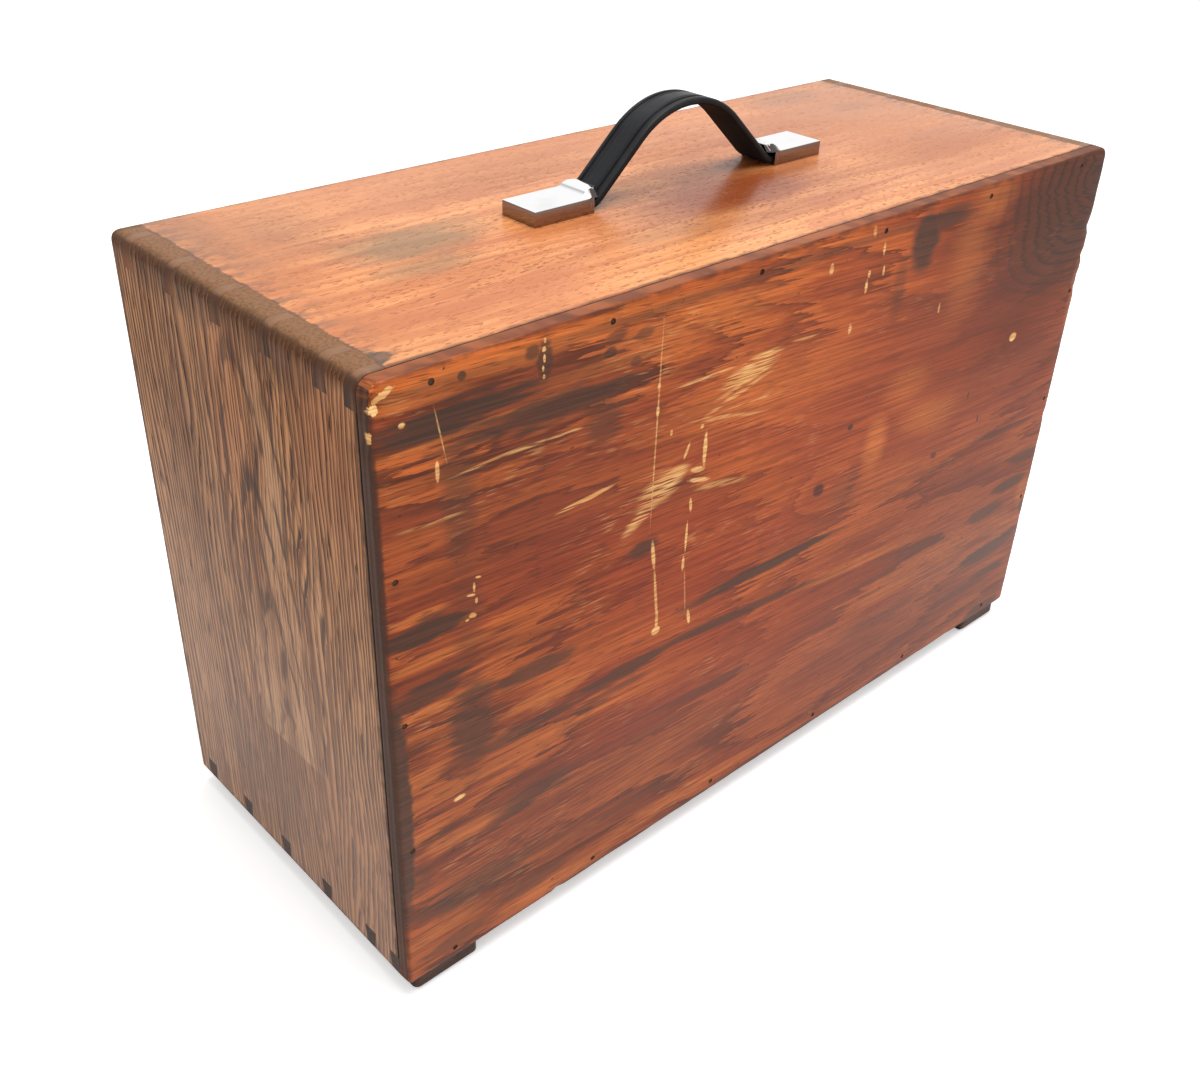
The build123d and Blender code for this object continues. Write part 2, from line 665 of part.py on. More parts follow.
# Drawers
def tail_outlines(centres, width, gap):
    """Lapped dovetails at a drawer side's front end, seen from the side."""
    root_y = drawer_face + drawer_front_thickness
    tip_y = root_y - tail_length - gap
    root = width / 2 - tail_flare + gap
    tip = width / 2 + gap
    return [
        [(root_y, centre - root), (root_y, centre + root), (tip_y, centre + tip), (tip_y, centre - tip)]
        for centre in centres
    ]


def make_drawer(name, middle_x, width, floor, row_height, knob_count):
    """One drawer: dovetailed front and sides, a back, a grooved bottom, its lining and its knobs."""
    low = floor + drawer_seat_gap
    high = floor + row_height - drawer_top_gap
    left = middle_x - width / 2
    right = middle_x + width / 2
    inner_face = drawer_face + drawer_front_thickness
    panel_low = low + drawer_bottom_height
    panel_high = panel_low + drawer_bottom_thickness
    inner_left = left + drawer_side_thickness
    inner_right = right - drawer_side_thickness
    side_spans = ((left, inner_left), (inner_right, right))
    tail_count = max(1, int((high - panel_high) / tail_pitch))
    tail_step = (high - panel_high) / tail_count
    tail_width = tail_step * tail_share
    tails = [panel_high + tail_step * (index + 0.5) for index in range(tail_count)]
    groove_y = (inner_face - drawer_groove_depth, drawer_rear + cut_over)
    groove_x = (inner_left - drawer_groove_depth, inner_right + drawer_groove_depth)
    groove_z = (panel_low - groove_gap, panel_high + groove_gap)
    knob_span = width * knob_span_share
    knob_z = (low + high) / 2
    if knob_count == 1:
        knobs_at = [(middle_x, knob_z)]
    else:
        knobs_at = [(middle_x + side * knob_span / 2, knob_z) for side in (-1, 1)]

    with BuildPart() as front:
        block((left, right), (drawer_face, inner_face), (low, high))
        fillet(front.faces().sort_by(Axis.Y)[0].edges(), edge_round / 2)
        block(groove_x, groove_y, groove_z, Mode.SUBTRACT)
        for span in side_spans:
            socket_width = drawer_side_thickness + 2 * joint_gap
            socket_plane = Plane.YZ.offset(span[0] - joint_gap)
            prisms(socket_plane, tail_outlines(tails, tail_width, joint_gap), socket_width, Mode.SUBTRACT)
        knob_hole = knob_screw_radius + knob_hole_clearance
        rounds(Plane.XZ.offset(-inner_face), knobs_at, knob_hole, drawer_front_thickness, Mode.SUBTRACT)
    save(front.part, f"{name}_front")

    with BuildPart() as frame:
        for span in side_spans:
            block(span, (inner_face, drawer_rear), (low, high))
            prisms(Plane.YZ.offset(span[0]), tail_outlines(tails, tail_width, 0), drawer_side_thickness)
        block(groove_x, groove_y, groove_z, Mode.SUBTRACT)
    with BuildPart() as rear:
        rear_y = (drawer_rear - drawer_back_thickness, drawer_rear)
        rear_x = (inner_left + joint_gap, inner_right - joint_gap)
        block(rear_x, rear_y, (panel_high, high - drawer_back_drop))
    save(Compound(children=[*frame.part.solids(), *rear.part.solids()]), f"{name}_frame")

    with BuildPart() as panel:
        panel_x = (groove_x[0] + groove_gap, groove_x[1] - groove_gap)
        block(panel_x, (groove_y[0] + groove_gap, drawer_rear), (panel_low, panel_high))
    save(panel.part, f"{name}_bottom")

    with BuildPart() as baize:
        baize_x = (inner_left + baize_gap, inner_right - baize_gap)
        baize_y = (inner_face + baize_gap, rear_y[0] - baize_gap)
        block(baize_x, baize_y, (panel_high, panel_high + baize_thickness))
    save(baize.part, f"{name}_baize")

    with BuildPart() as knobs:
        knob_plane = Plane.XZ.offset(-drawer_face)
        rounds(knob_plane, knobs_at, knob_flange_radius, knob_flange_thickness)
        rounds(knob_plane, knobs_at, knob_neck_radius, knob_length - knob_head_thickness / 2)
        head_plane = Plane.XZ.offset(-(drawer_face - knob_length + knob_head_thickness))
        rounds(head_plane, knobs_at, knob_head_radius, knob_head_thickness)
        fillet(knobs.edges().group_by(Axis.Y)[0], knob_head_thickness / 2.5)
        thread_hole = knob_screw_radius + nail_clearance
        rounds(knob_plane, knobs_at, thread_hole, knob_screw_bite + nail_clearance, Mode.SUBTRACT)
        screw_head_plane = Plane.XZ.offset(-(inner_face + knob_screw_head_thickness))
        rounds(screw_head_plane, knobs_at, knob_screw_head_radius, knob_screw_head_thickness)
        screw_run = drawer_front_thickness + knob_screw_bite
        rounds(Plane.XZ.offset(-inner_face), knobs_at, knob_screw_radius, screw_run)
    save(knobs.part, f"{name}_knobs")


full_width = 2 * bay_half - 2 * drawer_side_gap
half_bay = bay_half - partition_thickness / 2
half_drawer_width = half_bay - 2 * drawer_side_gap
half_drawer_x = partition_thickness / 2 + half_bay / 2
drawer_list = [
    ("drawer_bottom", 0, full_width, 0, 2),
    ("drawer_lower", 0, full_width, 1, 2),
    ("drawer_middle", 0, full_width, 2, 2),
    ("drawer_upper_left", -half_drawer_x, half_drawer_width, 3, 1),
    ("drawer_upper_right", half_drawer_x, half_drawer_width, 3, 1),
    ("drawer_top_left", -half_drawer_x, half_drawer_width, 4, 1),
    ("drawer_top_right", half_drawer_x, half_drawer_width, 4, 1),
]
for drawer_name, drawer_x, drawer_width, row, knob_count in drawer_list:
    make_drawer(drawer_name, drawer_x, drawer_width, row_floors[row], row_heights[row], knob_count)
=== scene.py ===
# An old workshop tool chest seen from behind: oak boards with through dovetails, a stained plywood
# back with years of scrapes, a black strap handle in chrome caps, and drawers in the hidden front.
# Everything is in metres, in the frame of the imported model, unless a note says millimetres.
import math

import bpy
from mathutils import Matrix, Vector


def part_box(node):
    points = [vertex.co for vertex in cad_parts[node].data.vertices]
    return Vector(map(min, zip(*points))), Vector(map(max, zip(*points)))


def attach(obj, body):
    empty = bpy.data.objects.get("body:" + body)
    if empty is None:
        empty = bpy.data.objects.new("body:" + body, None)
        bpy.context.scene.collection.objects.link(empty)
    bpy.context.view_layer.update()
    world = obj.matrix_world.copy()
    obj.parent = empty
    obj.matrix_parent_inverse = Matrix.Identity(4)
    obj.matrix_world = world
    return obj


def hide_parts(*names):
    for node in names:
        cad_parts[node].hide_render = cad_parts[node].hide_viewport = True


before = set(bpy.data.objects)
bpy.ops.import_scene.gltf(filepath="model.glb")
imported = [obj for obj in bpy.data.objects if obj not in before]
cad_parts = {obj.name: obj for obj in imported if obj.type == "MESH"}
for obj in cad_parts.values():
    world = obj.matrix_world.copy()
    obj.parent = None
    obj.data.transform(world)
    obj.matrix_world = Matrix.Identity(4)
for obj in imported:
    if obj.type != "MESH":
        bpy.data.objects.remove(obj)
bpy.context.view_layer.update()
print("packed model loaded")

millimetre = 0.001


# modelling by operators
def leaveEdit():
    if bpy.context.object and bpy.context.object.mode != "OBJECT":
        bpy.ops.object.mode_set(mode="OBJECT")


def deselectAll():
    leaveEdit()
    bpy.ops.object.select_all(action="DESELECT")


def takeUp(*pieces):
    # selects the pieces and makes the first of them active
    deselectAll()
    for piece in pieces:
        piece.select_set(True)
    bpy.context.view_layer.objects.active = pieces[0]


def newPiece(name):
    piece = bpy.context.object
    piece.name = name
    piece.data.name = name
    return piece


def settle(piece):
    takeUp(piece)
    bpy.ops.object.transform_apply(location=True, rotation=True, scale=True)


def joinPieces(*pieces):
    takeUp(*pieces)
    if len(pieces) > 1:
        bpy.ops.object.join()
    return pieces[0]


def pick(piece, kind, test):
    # selects the vertices, edges or faces of a piece by their place, and leaves it in edit mode
    takeUp(piece)
    bpy.ops.object.mode_set(mode="EDIT")
    bpy.ops.mesh.select_mode(type=kind)
    bpy.ops.mesh.select_all(action="DESELECT")
    bpy.ops.object.mode_set(mode="OBJECT")
    mesh = piece.data
    if kind == "VERT":
        for vertex in mesh.vertices:
            vertex.select = test(vertex.co)
    elif kind == "EDGE":
        for edge in mesh.edges:
            ends = [mesh.vertices[index].co for index in edge.vertices]
            edge.select = test(ends[0], ends[1])
    else:
        for face in mesh.polygons:
            face.select = test(face.center, face.normal)
    bpy.ops.object.mode_set(mode="EDIT")


def extrudeBy(x, y, z):
    bpy.ops.mesh.extrude_region_move(TRANSFORM_OT_translate={"value": (x, y, z)})


def bevelPicked(radius, segments, affect="EDGES"):
    bpy.ops.mesh.bevel(offset=radius, segments=segments, affect=affect)
    leaveEdit()


def applyModifier(piece, kind, **settings):
    takeUp(piece)
    modifier = piece.modifiers.new(kind.title(), kind)
    for name, value in settings.items():
        setattr(modifier, name, value)
    bpy.ops.object.modifier_apply(modifier=modifier.name)


def smoothByAngle(piece, degrees):
    takeUp(piece)
    bpy.ops.object.shade_smooth_by_angle(angle=math.radians(degrees))


def faceOutwards(piece):
    takeUp(piece)
    bpy.ops.object.mode_set(mode="EDIT")
    bpy.ops.mesh.select_all(action="SELECT")
    bpy.ops.mesh.remove_doubles(threshold=0.00001)
    bpy.ops.mesh.normals_make_consistent(inside=False)
    leaveEdit()


def cloudTexture(name, size):
    texture = bpy.data.textures.new(name, "CLOUDS")
    texture.noise_scale = size
    return texture


# node trees; a value given to a socket is a number, a colour or the output of another node
def plug(tree, socket, value):
    if isinstance(value, bpy.types.NodeSocket):
        tree.links.new(value, socket)
    else:
        socket.default_value = value


def addNode(tree, kind, sockets=None, **settings):
    made = tree.nodes.new(kind)
    for name, value in settings.items():
        setattr(made, name, value)
    for key, value in (sockets or {}).items():
        plug(tree, made.inputs[key], value)
    return made


def calc(tree, operation, first, second=0.5, third=0.0, clamp=False):
    sockets = {0: first, 1: second, 2: third}
    return addNode(tree, "ShaderNodeMath", sockets, operation=operation, use_clamp=clamp).outputs[0]


def times(tree, first, second):
    return calc(tree, "MULTIPLY", first, second)


def centred(tree, value, share=None):
    # noise around zero, and that much of it
    around = calc(tree, "SUBTRACT", value, 0.5)
    return around if share is None else times(tree, around, share)


def between(tree, value, low, high, toLow=0.0, toHigh=1.0, smooth=True):
    sockets = {"Value": value, "From Min": low, "From Max": high, "To Min": toLow, "To Max": toHigh}
    curve = "SMOOTHSTEP" if smooth else "LINEAR"
    return addNode(tree, "ShaderNodeMapRange", sockets, interpolation_type=curve).outputs["Result"]


def vectorCalc(tree, operation, first, second=None):
    sockets = {0: first} if second is None else {0: first, 1: second}
    made = addNode(tree, "ShaderNodeVectorMath", sockets, operation=operation)
    return made.outputs["Value" if operation in ("LENGTH", "DOT_PRODUCT") else "Vector"]


def splitAxes(tree, vector):
    return addNode(tree, "ShaderNodeSeparateXYZ", {"Vector": vector}).outputs


def joinAxes(tree, x, y, z=0.0):
    return addNode(tree, "ShaderNodeCombineXYZ", {"X": x, "Y": y, "Z": z}).outputs[0]


def turnFlat(tree, vector, angle):
    sockets = {"Vector": vector, "Angle": angle}
    return addNode(tree, "ShaderNodeVectorRotate", sockets, rotation_type="Z_AXIS").outputs[0]


def opaque(colour):
    return colour if isinstance(colour, bpy.types.NodeSocket) else (*colour, 1.0)


def shaded(colour, share):
    return tuple(share * part for part in colour)


def blendColour(tree, factor, first, second, how="MIX"):
    sockets = {0: factor, 6: opaque(first), 7: opaque(second)}
    made = addNode(tree, "ShaderNodeMix", sockets, data_type="RGBA", blend_type=how, clamp_factor=True)
    return made.outputs[2]


def paint(tree, colour, stain, mask, share=None):
    # lays a stain over a colour where the mask says
    return blendColour(tree, mask if share is None else times(tree, mask, share), colour, stain)


def darken(tree, colour, amount):
    grey = addNode(tree, "ShaderNodeCombineColor", {"Red": amount, "Green": amount, "Blue": amount})
    return blendColour(tree, 1.0, colour, grey.outputs[0], "MULTIPLY")


def colourRamp(tree, factor, stops):
    made = addNode(tree, "ShaderNodeValToRGB", {"Fac": factor})
    ramp = made.color_ramp
    while len(ramp.elements) < len(stops):
        ramp.elements.new(0.5)
    for element, (place, colour) in zip(ramp.elements, stops):
        element.position = place
        element.color = (*colour, 1.0)
    return made.outputs["Color"]


def scaledNoise(tree, vector, scale, detail=2.0, roughness=0.5, flat=False, seed=0.0):
    # noise with a number of waves per metre for each axis: low along the grain, high across it
    sockets = {0: vector, 1: scale, 2: (seed, seed, seed)}
    stretched = addNode(tree, "ShaderNodeVectorMath", sockets, operation="MULTIPLY_ADD").outputs[0]
    sockets = {"Vector": stretched, "Scale": 1.0, "Detail": detail, "Roughness": roughness}
    dimensions = "2D" if flat else "3D"
    return addNode(tree, "ShaderNodeTexNoise", sockets, noise_dimensions=dimensions).outputs["Fac"]


def startGroup(name, inputs, outputs):
    tree = bpy.data.node_groups.new(name, "ShaderNodeTree")
    for label, value in inputs.items():
        kind = "Float" if isinstance(value, float) else "Vector"
        socket = tree.interface.new_socket(name=label, in_out="INPUT", socket_type="NodeSocket" + kind)
        if value is not None:
            socket.default_value = value
    for label in outputs:
        tree.interface.new_socket(name=label, in_out="OUTPUT", socket_type="NodeSocketFloat")
    return tree, tree.nodes.new("NodeGroupInput").outputs, tree.nodes.new("NodeGroupOutput").inputs


def finishGroup(tree, result, values):
    for label, value in values.items():
        tree.links.new(value, result[label])
    return tree


def useGroup(tree, group, sockets):
    return addNode(tree, "ShaderNodeGroup", sockets, node_tree=group).outputs


# shared effects
def makeBoardGrain():
    # sawn oak: growth rings that arch along the board, dark open lines that follow them, pores as
    # short dashes, and fine fibres
    tree, given, result = startGroup(
        "boardGrain",
        {
            "Vector": None, "Ring Gap": 0.004, "Wander": 0.012,
            "Arch Depth": 0.01, "Arch Slope": 0.0, "Pore Length": 0.009,
            "Pore Width": 0.0008, "Seed": 0.0,
        },
        ["Rings", "Lines", "Pores", "Fibres", "Tone", "Shade"],
    )
    offset = joinAxes(tree, given["Seed"], given["Seed"], given["Seed"])
    place = vectorCalc(tree, "ADD", given["Vector"], offset)
    axes = splitAxes(tree, given["Vector"])
    wander = centred(tree, scaledNoise(tree, place, (4.2, 26, 26), 2), given["Wander"])
    fibres = scaledNoise(tree, place, (16, 1100, 1100), 2, 0.6)
    shade = scaledNoise(tree, place, (6.5, 95, 95), 2, 0.6)
    jitter = calc(tree, "MULTIPLY_ADD", centred(tree, shade), 0.0045, times(tree, fibres, 0.0006))
    across = calc(tree, "MULTIPLY_ADD", axes["Z"], 0.55, axes["Y"])
    across = calc(tree, "ADD", across, calc(tree, "ADD", wander, jitter))
    depth = calc(tree, "MULTIPLY_ADD", axes["X"], given["Arch Slope"], given["Arch Depth"])
    squares = calc(tree, "ADD", calc(tree, "POWER", across, 2.0), calc(tree, "POWER", depth, 2.0))
    rings = calc(tree, "FRACT", calc(tree, "DIVIDE", calc(tree, "SQRT", squares), given["Ring Gap"]), 0.0)
    broken = scaledNoise(tree, place, (34, 230, 230), 1, 0.5)
    lines = times(tree, between(tree, rings, 0.0, 0.06), between(tree, rings, 0.14, 0.34, 1.0, 0.0))
    lines = times(tree, lines, between(tree, broken, 0.36, 0.46))
    # pores crowd into the early wood of each ring
    early = between(tree, rings, 0.05, 0.62, 1.0, 0.0)
    poreScale = joinAxes(
        tree, calc(tree, "DIVIDE", 1.0, given["Pore Length"]), calc(tree, "DIVIDE", 1.0, given["Pore Width"]),
        calc(tree, "DIVIDE", 1.0, given["Pore Width"]),
    )
    poreNoise = scaledNoise(tree, place, poreScale, 1, 0.4)
    threshold = calc(tree, "MULTIPLY_ADD", early, -0.09, 0.64)
    pores = between(tree, calc(tree, "SUBTRACT", poreNoise, threshold), 0.0, 0.05)
    tone = scaledNoise(tree, place, (5, 14, 14), 2, 0.55)
    return finishGroup(tree, result, {
        "Rings": rings, "Lines": lines, "Pores": pores, "Fibres": fibres, "Tone": tone, "Shade": shade,
    })


def makePeeledVeneer():
    # peeled softwood: wide rings like the contour lines of a map, with torn tips along the grain
    tree, given, result = startGroup(
        "peeledVeneer",
        {
            "Vector": None, "Ring Gap": 0.008, "Wander": 0.06,
            "Torn Tips": 0.03, "Hill": 0.0,
        },
        ["Rings", "Fine Rings", "Fibres", "Streaks", "Dashes", "Ragged", "Tone"],
    )
    vector = given["Vector"]
    axes = splitAxes(tree, vector)
    fibres = scaledNoise(tree, vector, (11, 760, 1), 2, 0.6, flat=True)
    streaks = scaledNoise(tree, vector, (4.2, 105, 1), 3, 0.62, flat=True, seed=3.7)
    dashes = scaledNoise(tree, vector, (75, 1150, 1), 1, 0.5, flat=True, seed=9.1)
    ragged = scaledNoise(tree, vector, (26, 300, 1), 3, 0.62, flat=True, seed=5.3)
    torn = centred(tree, calc(tree, "MULTIPLY_ADD", ragged, 0.7, times(tree, fibres, 0.3)))
    place = joinAxes(tree, calc(tree, "MULTIPLY_ADD", torn, given["Torn Tips"], axes["X"]), axes["Y"])
    broad = centred(tree, scaledNoise(tree, place, (2.6, 8.5, 1), 1, 0.4, flat=True))
    local = centred(tree, scaledNoise(tree, place, (9, 42, 1), 2, 0.5, flat=True, seed=2.2))
    height = times(tree, broad, given["Wander"])
    height = calc(tree, "MULTIPLY_ADD", local, times(tree, given["Wander"], 0.25), height)
    height = calc(tree, "MULTIPLY_ADD", axes["Y"], 0.3, height)
    height = calc(tree, "ADD", height, given["Hill"])
    rings = calc(tree, "FRACT", calc(tree, "DIVIDE", height, given["Ring Gap"]), 0.0)
    fineRings = calc(tree, "FRACT", calc(tree, "DIVIDE", height, times(tree, given["Ring Gap"], 0.11)), 0.0)
    tone = scaledNoise(tree, place, (3.5, 13, 1), 2, 0.5, flat=True, seed=7.9)
    return finishGroup(tree, result, {
        "Rings": rings, "Fine Rings": fineRings, "Fibres": fibres, "Streaks": streaks, "Dashes": dashes,
        "Ragged": ragged, "Tone": tone,
    })


def makePlacedMark():
    # one stain, scrape or chip: an oval around a centre, 1 inside and 0 outside; Uneven moves its edge
    tree, given, result = startGroup(
        "placedMark",
        {
            "Vector": None, "Centre": (0, 0, 0), "Size": (0.01, 0.01, 0.01),
            "Lean": 0.0, "Softness": 0.5, "Uneven": 0.0,
            "Ragged": 0.5, "Strength": 1.0, "Other Marks": 0.0,
        },
        ["Mask"],
    )
    away = vectorCalc(tree, "SUBTRACT", given["Vector"], given["Centre"])
    shrunk = vectorCalc(tree, "DIVIDE", turnFlat(tree, away, given["Lean"]), given["Size"])
    push = times(tree, given["Ragged"], calc(tree, "MULTIPLY_ADD", given["Uneven"], -4.0, 2.0))
    distance = calc(tree, "ADD", vectorCalc(tree, "LENGTH", shrunk), push)
    edge = times(tree, given["Softness"], 0.5)
    inner, outer = calc(tree, "SUBTRACT", 1.0, edge), calc(tree, "ADD", 1.0001, edge)
    mask = between(tree, distance, inner, outer, given["Strength"], 0.0)
    return finishGroup(tree, result, {"Mask": calc(tree, "MAXIMUM", mask, given["Other Marks"])})


def makeRimMask():
    # how near a point is to the edges of a box, 1 on an edge and 0 further in
    tree, given, result = startGroup(
        "rimMask",
        {
            "Vector": None, "Centre": (0, 0, 0), "Half Size": (0.1, 0.1, 0.1),
            "Width": 0.005, "Uneven": 0.5,
        },
        ["Mask"],
    )
    beyond = vectorCalc(tree, "ABSOLUTE", vectorCalc(tree, "SUBTRACT", given["Vector"], given["Centre"]))
    sides = splitAxes(tree, vectorCalc(tree, "SUBTRACT", given["Half Size"], beyond))
    low = calc(tree, "MINIMUM", sides["X"], sides["Y"])
    high = calc(tree, "MAXIMUM", sides["X"], sides["Y"])
    # the second smallest distance to a side is the distance to the nearest edge
    second = calc(tree, "MAXIMUM", low, calc(tree, "MINIMUM", high, sides["Z"]))
    wobble = centred(tree, scaledNoise(tree, given["Vector"], (110, 110, 110), 2, 0.6))
    reach = times(tree, given["Width"], times(tree, given["Uneven"], -4.0))
    second = calc(tree, "MULTIPLY_ADD", wobble, reach, second)
    return finishGroup(tree, result, {"Mask": between(tree, second, 0.0, given["Width"], 1.0, 0.0)})


def makeFineScratches():
    # hair lines in two directions and scattered smudges, for metal and vinyl
    tree, given, result = startGroup(
        "fineScratches",
        {"Vector": None, "Scale": 1.0, "Amount": 0.5},
        ["Mask", "Smudge"],
    )
    sockets = {"Vector": given["Vector"], "Scale": given["Scale"]}
    scaled = addNode(tree, "ShaderNodeVectorMath", sockets, operation="SCALE").outputs[0]
    masks = []
    for angle, stretch in ((0.5, (40, 1700, 1700)), (-0.9, (30, 1300, 1300))):
        lines = scaledNoise(tree, turnFlat(tree, scaled, angle), stretch, 2, 0.5)
        masks.append(between(tree, lines, 0.66, 0.74))
    both = calc(tree, "MULTIPLY", calc(tree, "MAXIMUM", *masks), given["Amount"], clamp=True)
    smudge = scaledNoise(tree, scaled, (45, 45, 45), 3, 0.6)
    return finishGroup(tree, result, {"Mask": both, "Smudge": smudge})


boardGrain = makeBoardGrain()
peeledVeneer = makePeeledVeneer()
placedMark = makePlacedMark()
rimMask = makeRimMask()
fineScratches = makeFineScratches()
print("shared node groups built")


def newMaterial(name):
    material = bpy.data.materials.new(name)
    material.use_nodes = True
    tree = material.node_tree
    return material, tree, tree.nodes["Principled BSDF"]


def objectPlace(tree, turn=(0, 0, 0), shift=(0, 0, 0)):
    # object coordinates turned so that the grain runs along X, then the normal and the plain coordinates
    coordinates = addNode(tree, "ShaderNodeTexCoord").outputs
    sockets = {"Vector": coordinates["Object"], "Rotation": turn, "Location": shift}
    mapping = addNode(tree, "ShaderNodeMapping", sockets)
    return mapping.outputs[0], coordinates["Normal"], coordinates["Object"]


def addBump(tree, shader, height, distance, strength):
    bump = addNode(tree, "ShaderNodeBump", {"Height": height, "Distance": distance, "Strength": strength})
    tree.links.new(bump.outputs[0], shader.inputs["Normal"])


def facingMask(tree, normal, axis, low=0.55, high=0.85):
    # 1 where a surface faces along the axis, either way
    facing = vectorCalc(tree, "DOT_PRODUCT", normal, axis)
    return between(tree, calc(tree, "ABSOLUTE", facing), low, high)


def paintMarks(tree, place, marks, uneven):
    # marks are (x, y, half length, half width, lean in degrees, softness, raggedness, strength), in mm
    mask = 0.0
    for x, y, halfLength, halfWidth, lean, soft, ragged, strength in marks:
        mask = useGroup(tree, placedMark, {
            "Vector": place, "Centre": (x * millimetre, y * millimetre, 0),
            "Size": (halfLength * millimetre, halfWidth * millimetre, 1), "Lean": math.radians(-lean),
            "Softness": soft, "Uneven": uneven, "Ragged": ragged, "Strength": strength, "Other Marks": mask,
        })["Mask"]
    return mask


# timber finishes; grain names the axis that the fibres follow, contrast says where dark wood starts
grainTurns = {
    "X": ((0, 0, 0), (1, 0, 0)),
    "Y": ((0, 0, -math.pi / 2), (0, 1, 0)),
    "Z": ((0, math.pi / 2, 0), (0, 0, 1)),
}
plainTimber = {
    "grain": "X", "ringGap": 0.006, "wander": 0.02, "archDepth": 0.01, "archSlope": 0.05, "poreLength": 0.01,
    "poreWidth": 0.0008, "poreShare": 0.5, "lineShare": 0.2, "ringShare": 0.35, "gloss": 0.3, "relief": 0.0002,
    "contrast": (0.36, 0.86),
}
plainPly = {
    **plainTimber, "wander": 0.03, "archDepth": 0.03, "poreLength": 0.005, "poreWidth": 0.0006,
    "poreShare": 0.25, "lineShare": 0.0, "ringShare": 0.4, "rough": 0.6,
}
timbers = {
    "topOak": {
        **plainTimber, "light": (0.77, 0.31, 0.103), "dark": (0.5, 0.155, 0.042), "pore": (0.22, 0.06, 0.02),
        "end": (0.03, 0.022, 0.018), "ringGap": 0.0095, "wander": 0.05, "archDepth": 0.05, "archSlope": 0.12,
        "poreLength": 0.0032, "poreWidth": 0.00085, "poreShare": 0.7, "lineShare": 0.0, "ringShare": 0.12,
        "rough": 0.24, "gloss": 0.26, "relief": 0.00012, "contrast": (0.44, 0.74), "seed": 3.1,
    },
    "sideOak": {
        **plainTimber, "grain": "Z", "light": (0.55, 0.26, 0.11), "dark": (0.22, 0.082, 0.035),
        "pore": (0.03, 0.012, 0.007), "end": (0.24, 0.118, 0.058), "ringGap": 0.0029, "wander": 0.03,
        "archDepth": 0.014, "archSlope": 0.09, "poreLength": 0.018, "poreWidth": 0.0007, "poreShare": 0.85,
        "lineShare": 0.85, "ringShare": 0.3, "rough": 0.42, "gloss": 0.06, "relief": 0.00006,
        "contrast": (0.54, 0.78), "seed": 7.7,
    },
    "bottomOak": {
        **plainTimber, "light": (0.36, 0.2, 0.11), "dark": (0.22, 0.1, 0.05), "pore": (0.1, 0.04, 0.02),
        "end": (0.07, 0.04, 0.03), "archDepth": 0.02, "archSlope": 0.03, "poreLength": 0.012,
        "poreWidth": 0.0009, "poreShare": 0.7, "lineShare": 0.3, "ringShare": 0.3, "rough": 0.5, "seed": 1.3,
    },
    "frontOak": {
        **plainTimber, "light": (0.64, 0.27, 0.105), "dark": (0.42, 0.14, 0.047), "pore": (0.19, 0.062, 0.024),
        "end": (0.2, 0.085, 0.04), "ringGap": 0.0075, "archSlope": 0.06, "poreLength": 0.009,
        "poreShare": 0.6, "lineShare": 0.25, "rough": 0.34, "gloss": 0.45, "seed": 5.9,
    },
    "innerOak": {
        **plainTimber, "grain": "Y", "light": (0.6, 0.4, 0.23), "dark": (0.45, 0.27, 0.14),
        "pore": (0.25, 0.13, 0.06), "end": (0.3, 0.17, 0.09), "wander": 0.014, "rough": 0.55, "seed": 2.2,
    },
    "shelfOak": {
        **plainTimber, "light": (0.56, 0.36, 0.2), "dark": (0.42, 0.24, 0.12), "pore": (0.22, 0.11, 0.05),
        "end": (0.28, 0.15, 0.08), "archDepth": 0.015, "rough": 0.52, "seed": 9.4,
    },
    "liningPly": {
        **plainPly, "grain": "Z", "light": (0.62, 0.45, 0.28), "dark": (0.5, 0.33, 0.18),
        "pore": (0.36, 0.22, 0.11), "end": (0.4, 0.27, 0.16), "ringGap": 0.013, "archSlope": 0.1, "seed": 4.6,
    },
    "dividerPly": {
        **plainPly, "light": (0.58, 0.42, 0.26), "dark": (0.46, 0.3, 0.17), "pore": (0.34, 0.2, 0.1),
        "end": (0.38, 0.25, 0.15), "ringGap": 0.012, "archSlope": 0.08, "seed": 6.8,
    },
    "footOak": {
        **plainTimber, "light": (0.115, 0.048, 0.024), "dark": (0.06, 0.025, 0.014), "pore": (0.02, 0.01, 0.007),
        "end": (0.045, 0.02, 0.012), "ringGap": 0.004, "wander": 0.008, "archSlope": 0.1, "poreLength": 0.008,
        "poreWidth": 0.0007, "poreShare": 0.7, "lineShare": 0.3, "ringShare": 0.3, "rough": 0.5, "gloss": 0.35,
        "seed": 8.5,
    },
}


def timberColours(tree, look, place, normal):
    grain = useGroup(tree, boardGrain, {
        "Vector": place, "Ring Gap": look["ringGap"], "Wander": look["wander"], "Arch Depth": look["archDepth"],
        "Arch Slope": look["archSlope"], "Pore Length": look["poreLength"], "Pore Width": look["poreWidth"],
        "Seed": look["seed"],
    })
    late = between(tree, grain["Rings"], 0.3, 1.0)
    mixed = calc(tree, "MULTIPLY_ADD", grain["Shade"], 0.6, times(tree, late, look["ringShare"]))
    mixed = calc(tree, "MULTIPLY_ADD", grain["Tone"], 0.45, mixed)
    colour = blendColour(tree, between(tree, mixed, *look["contrast"]), look["light"], look["dark"])
    colour = darken(tree, colour, between(tree, grain["Fibres"], 0.3, 0.75, 1.03, 0.76))
    if look["lineShare"]:
        colour = paint(tree, colour, look["pore"], grain["Lines"], look["lineShare"])
    colour = paint(tree, colour, look["pore"], grain["Pores"], look["poreShare"])
    end = facingMask(tree, normal, grainTurns[look["grain"]][1])
    speckle = between(tree, scaledNoise(tree, place, (240, 700, 700), 2, 0.7), 0.35, 0.7)
    endColour = blendColour(tree, speckle, look["end"], shaded(look["end"], 0.6))
    return blendColour(tree, end, colour, endColour), grain, end


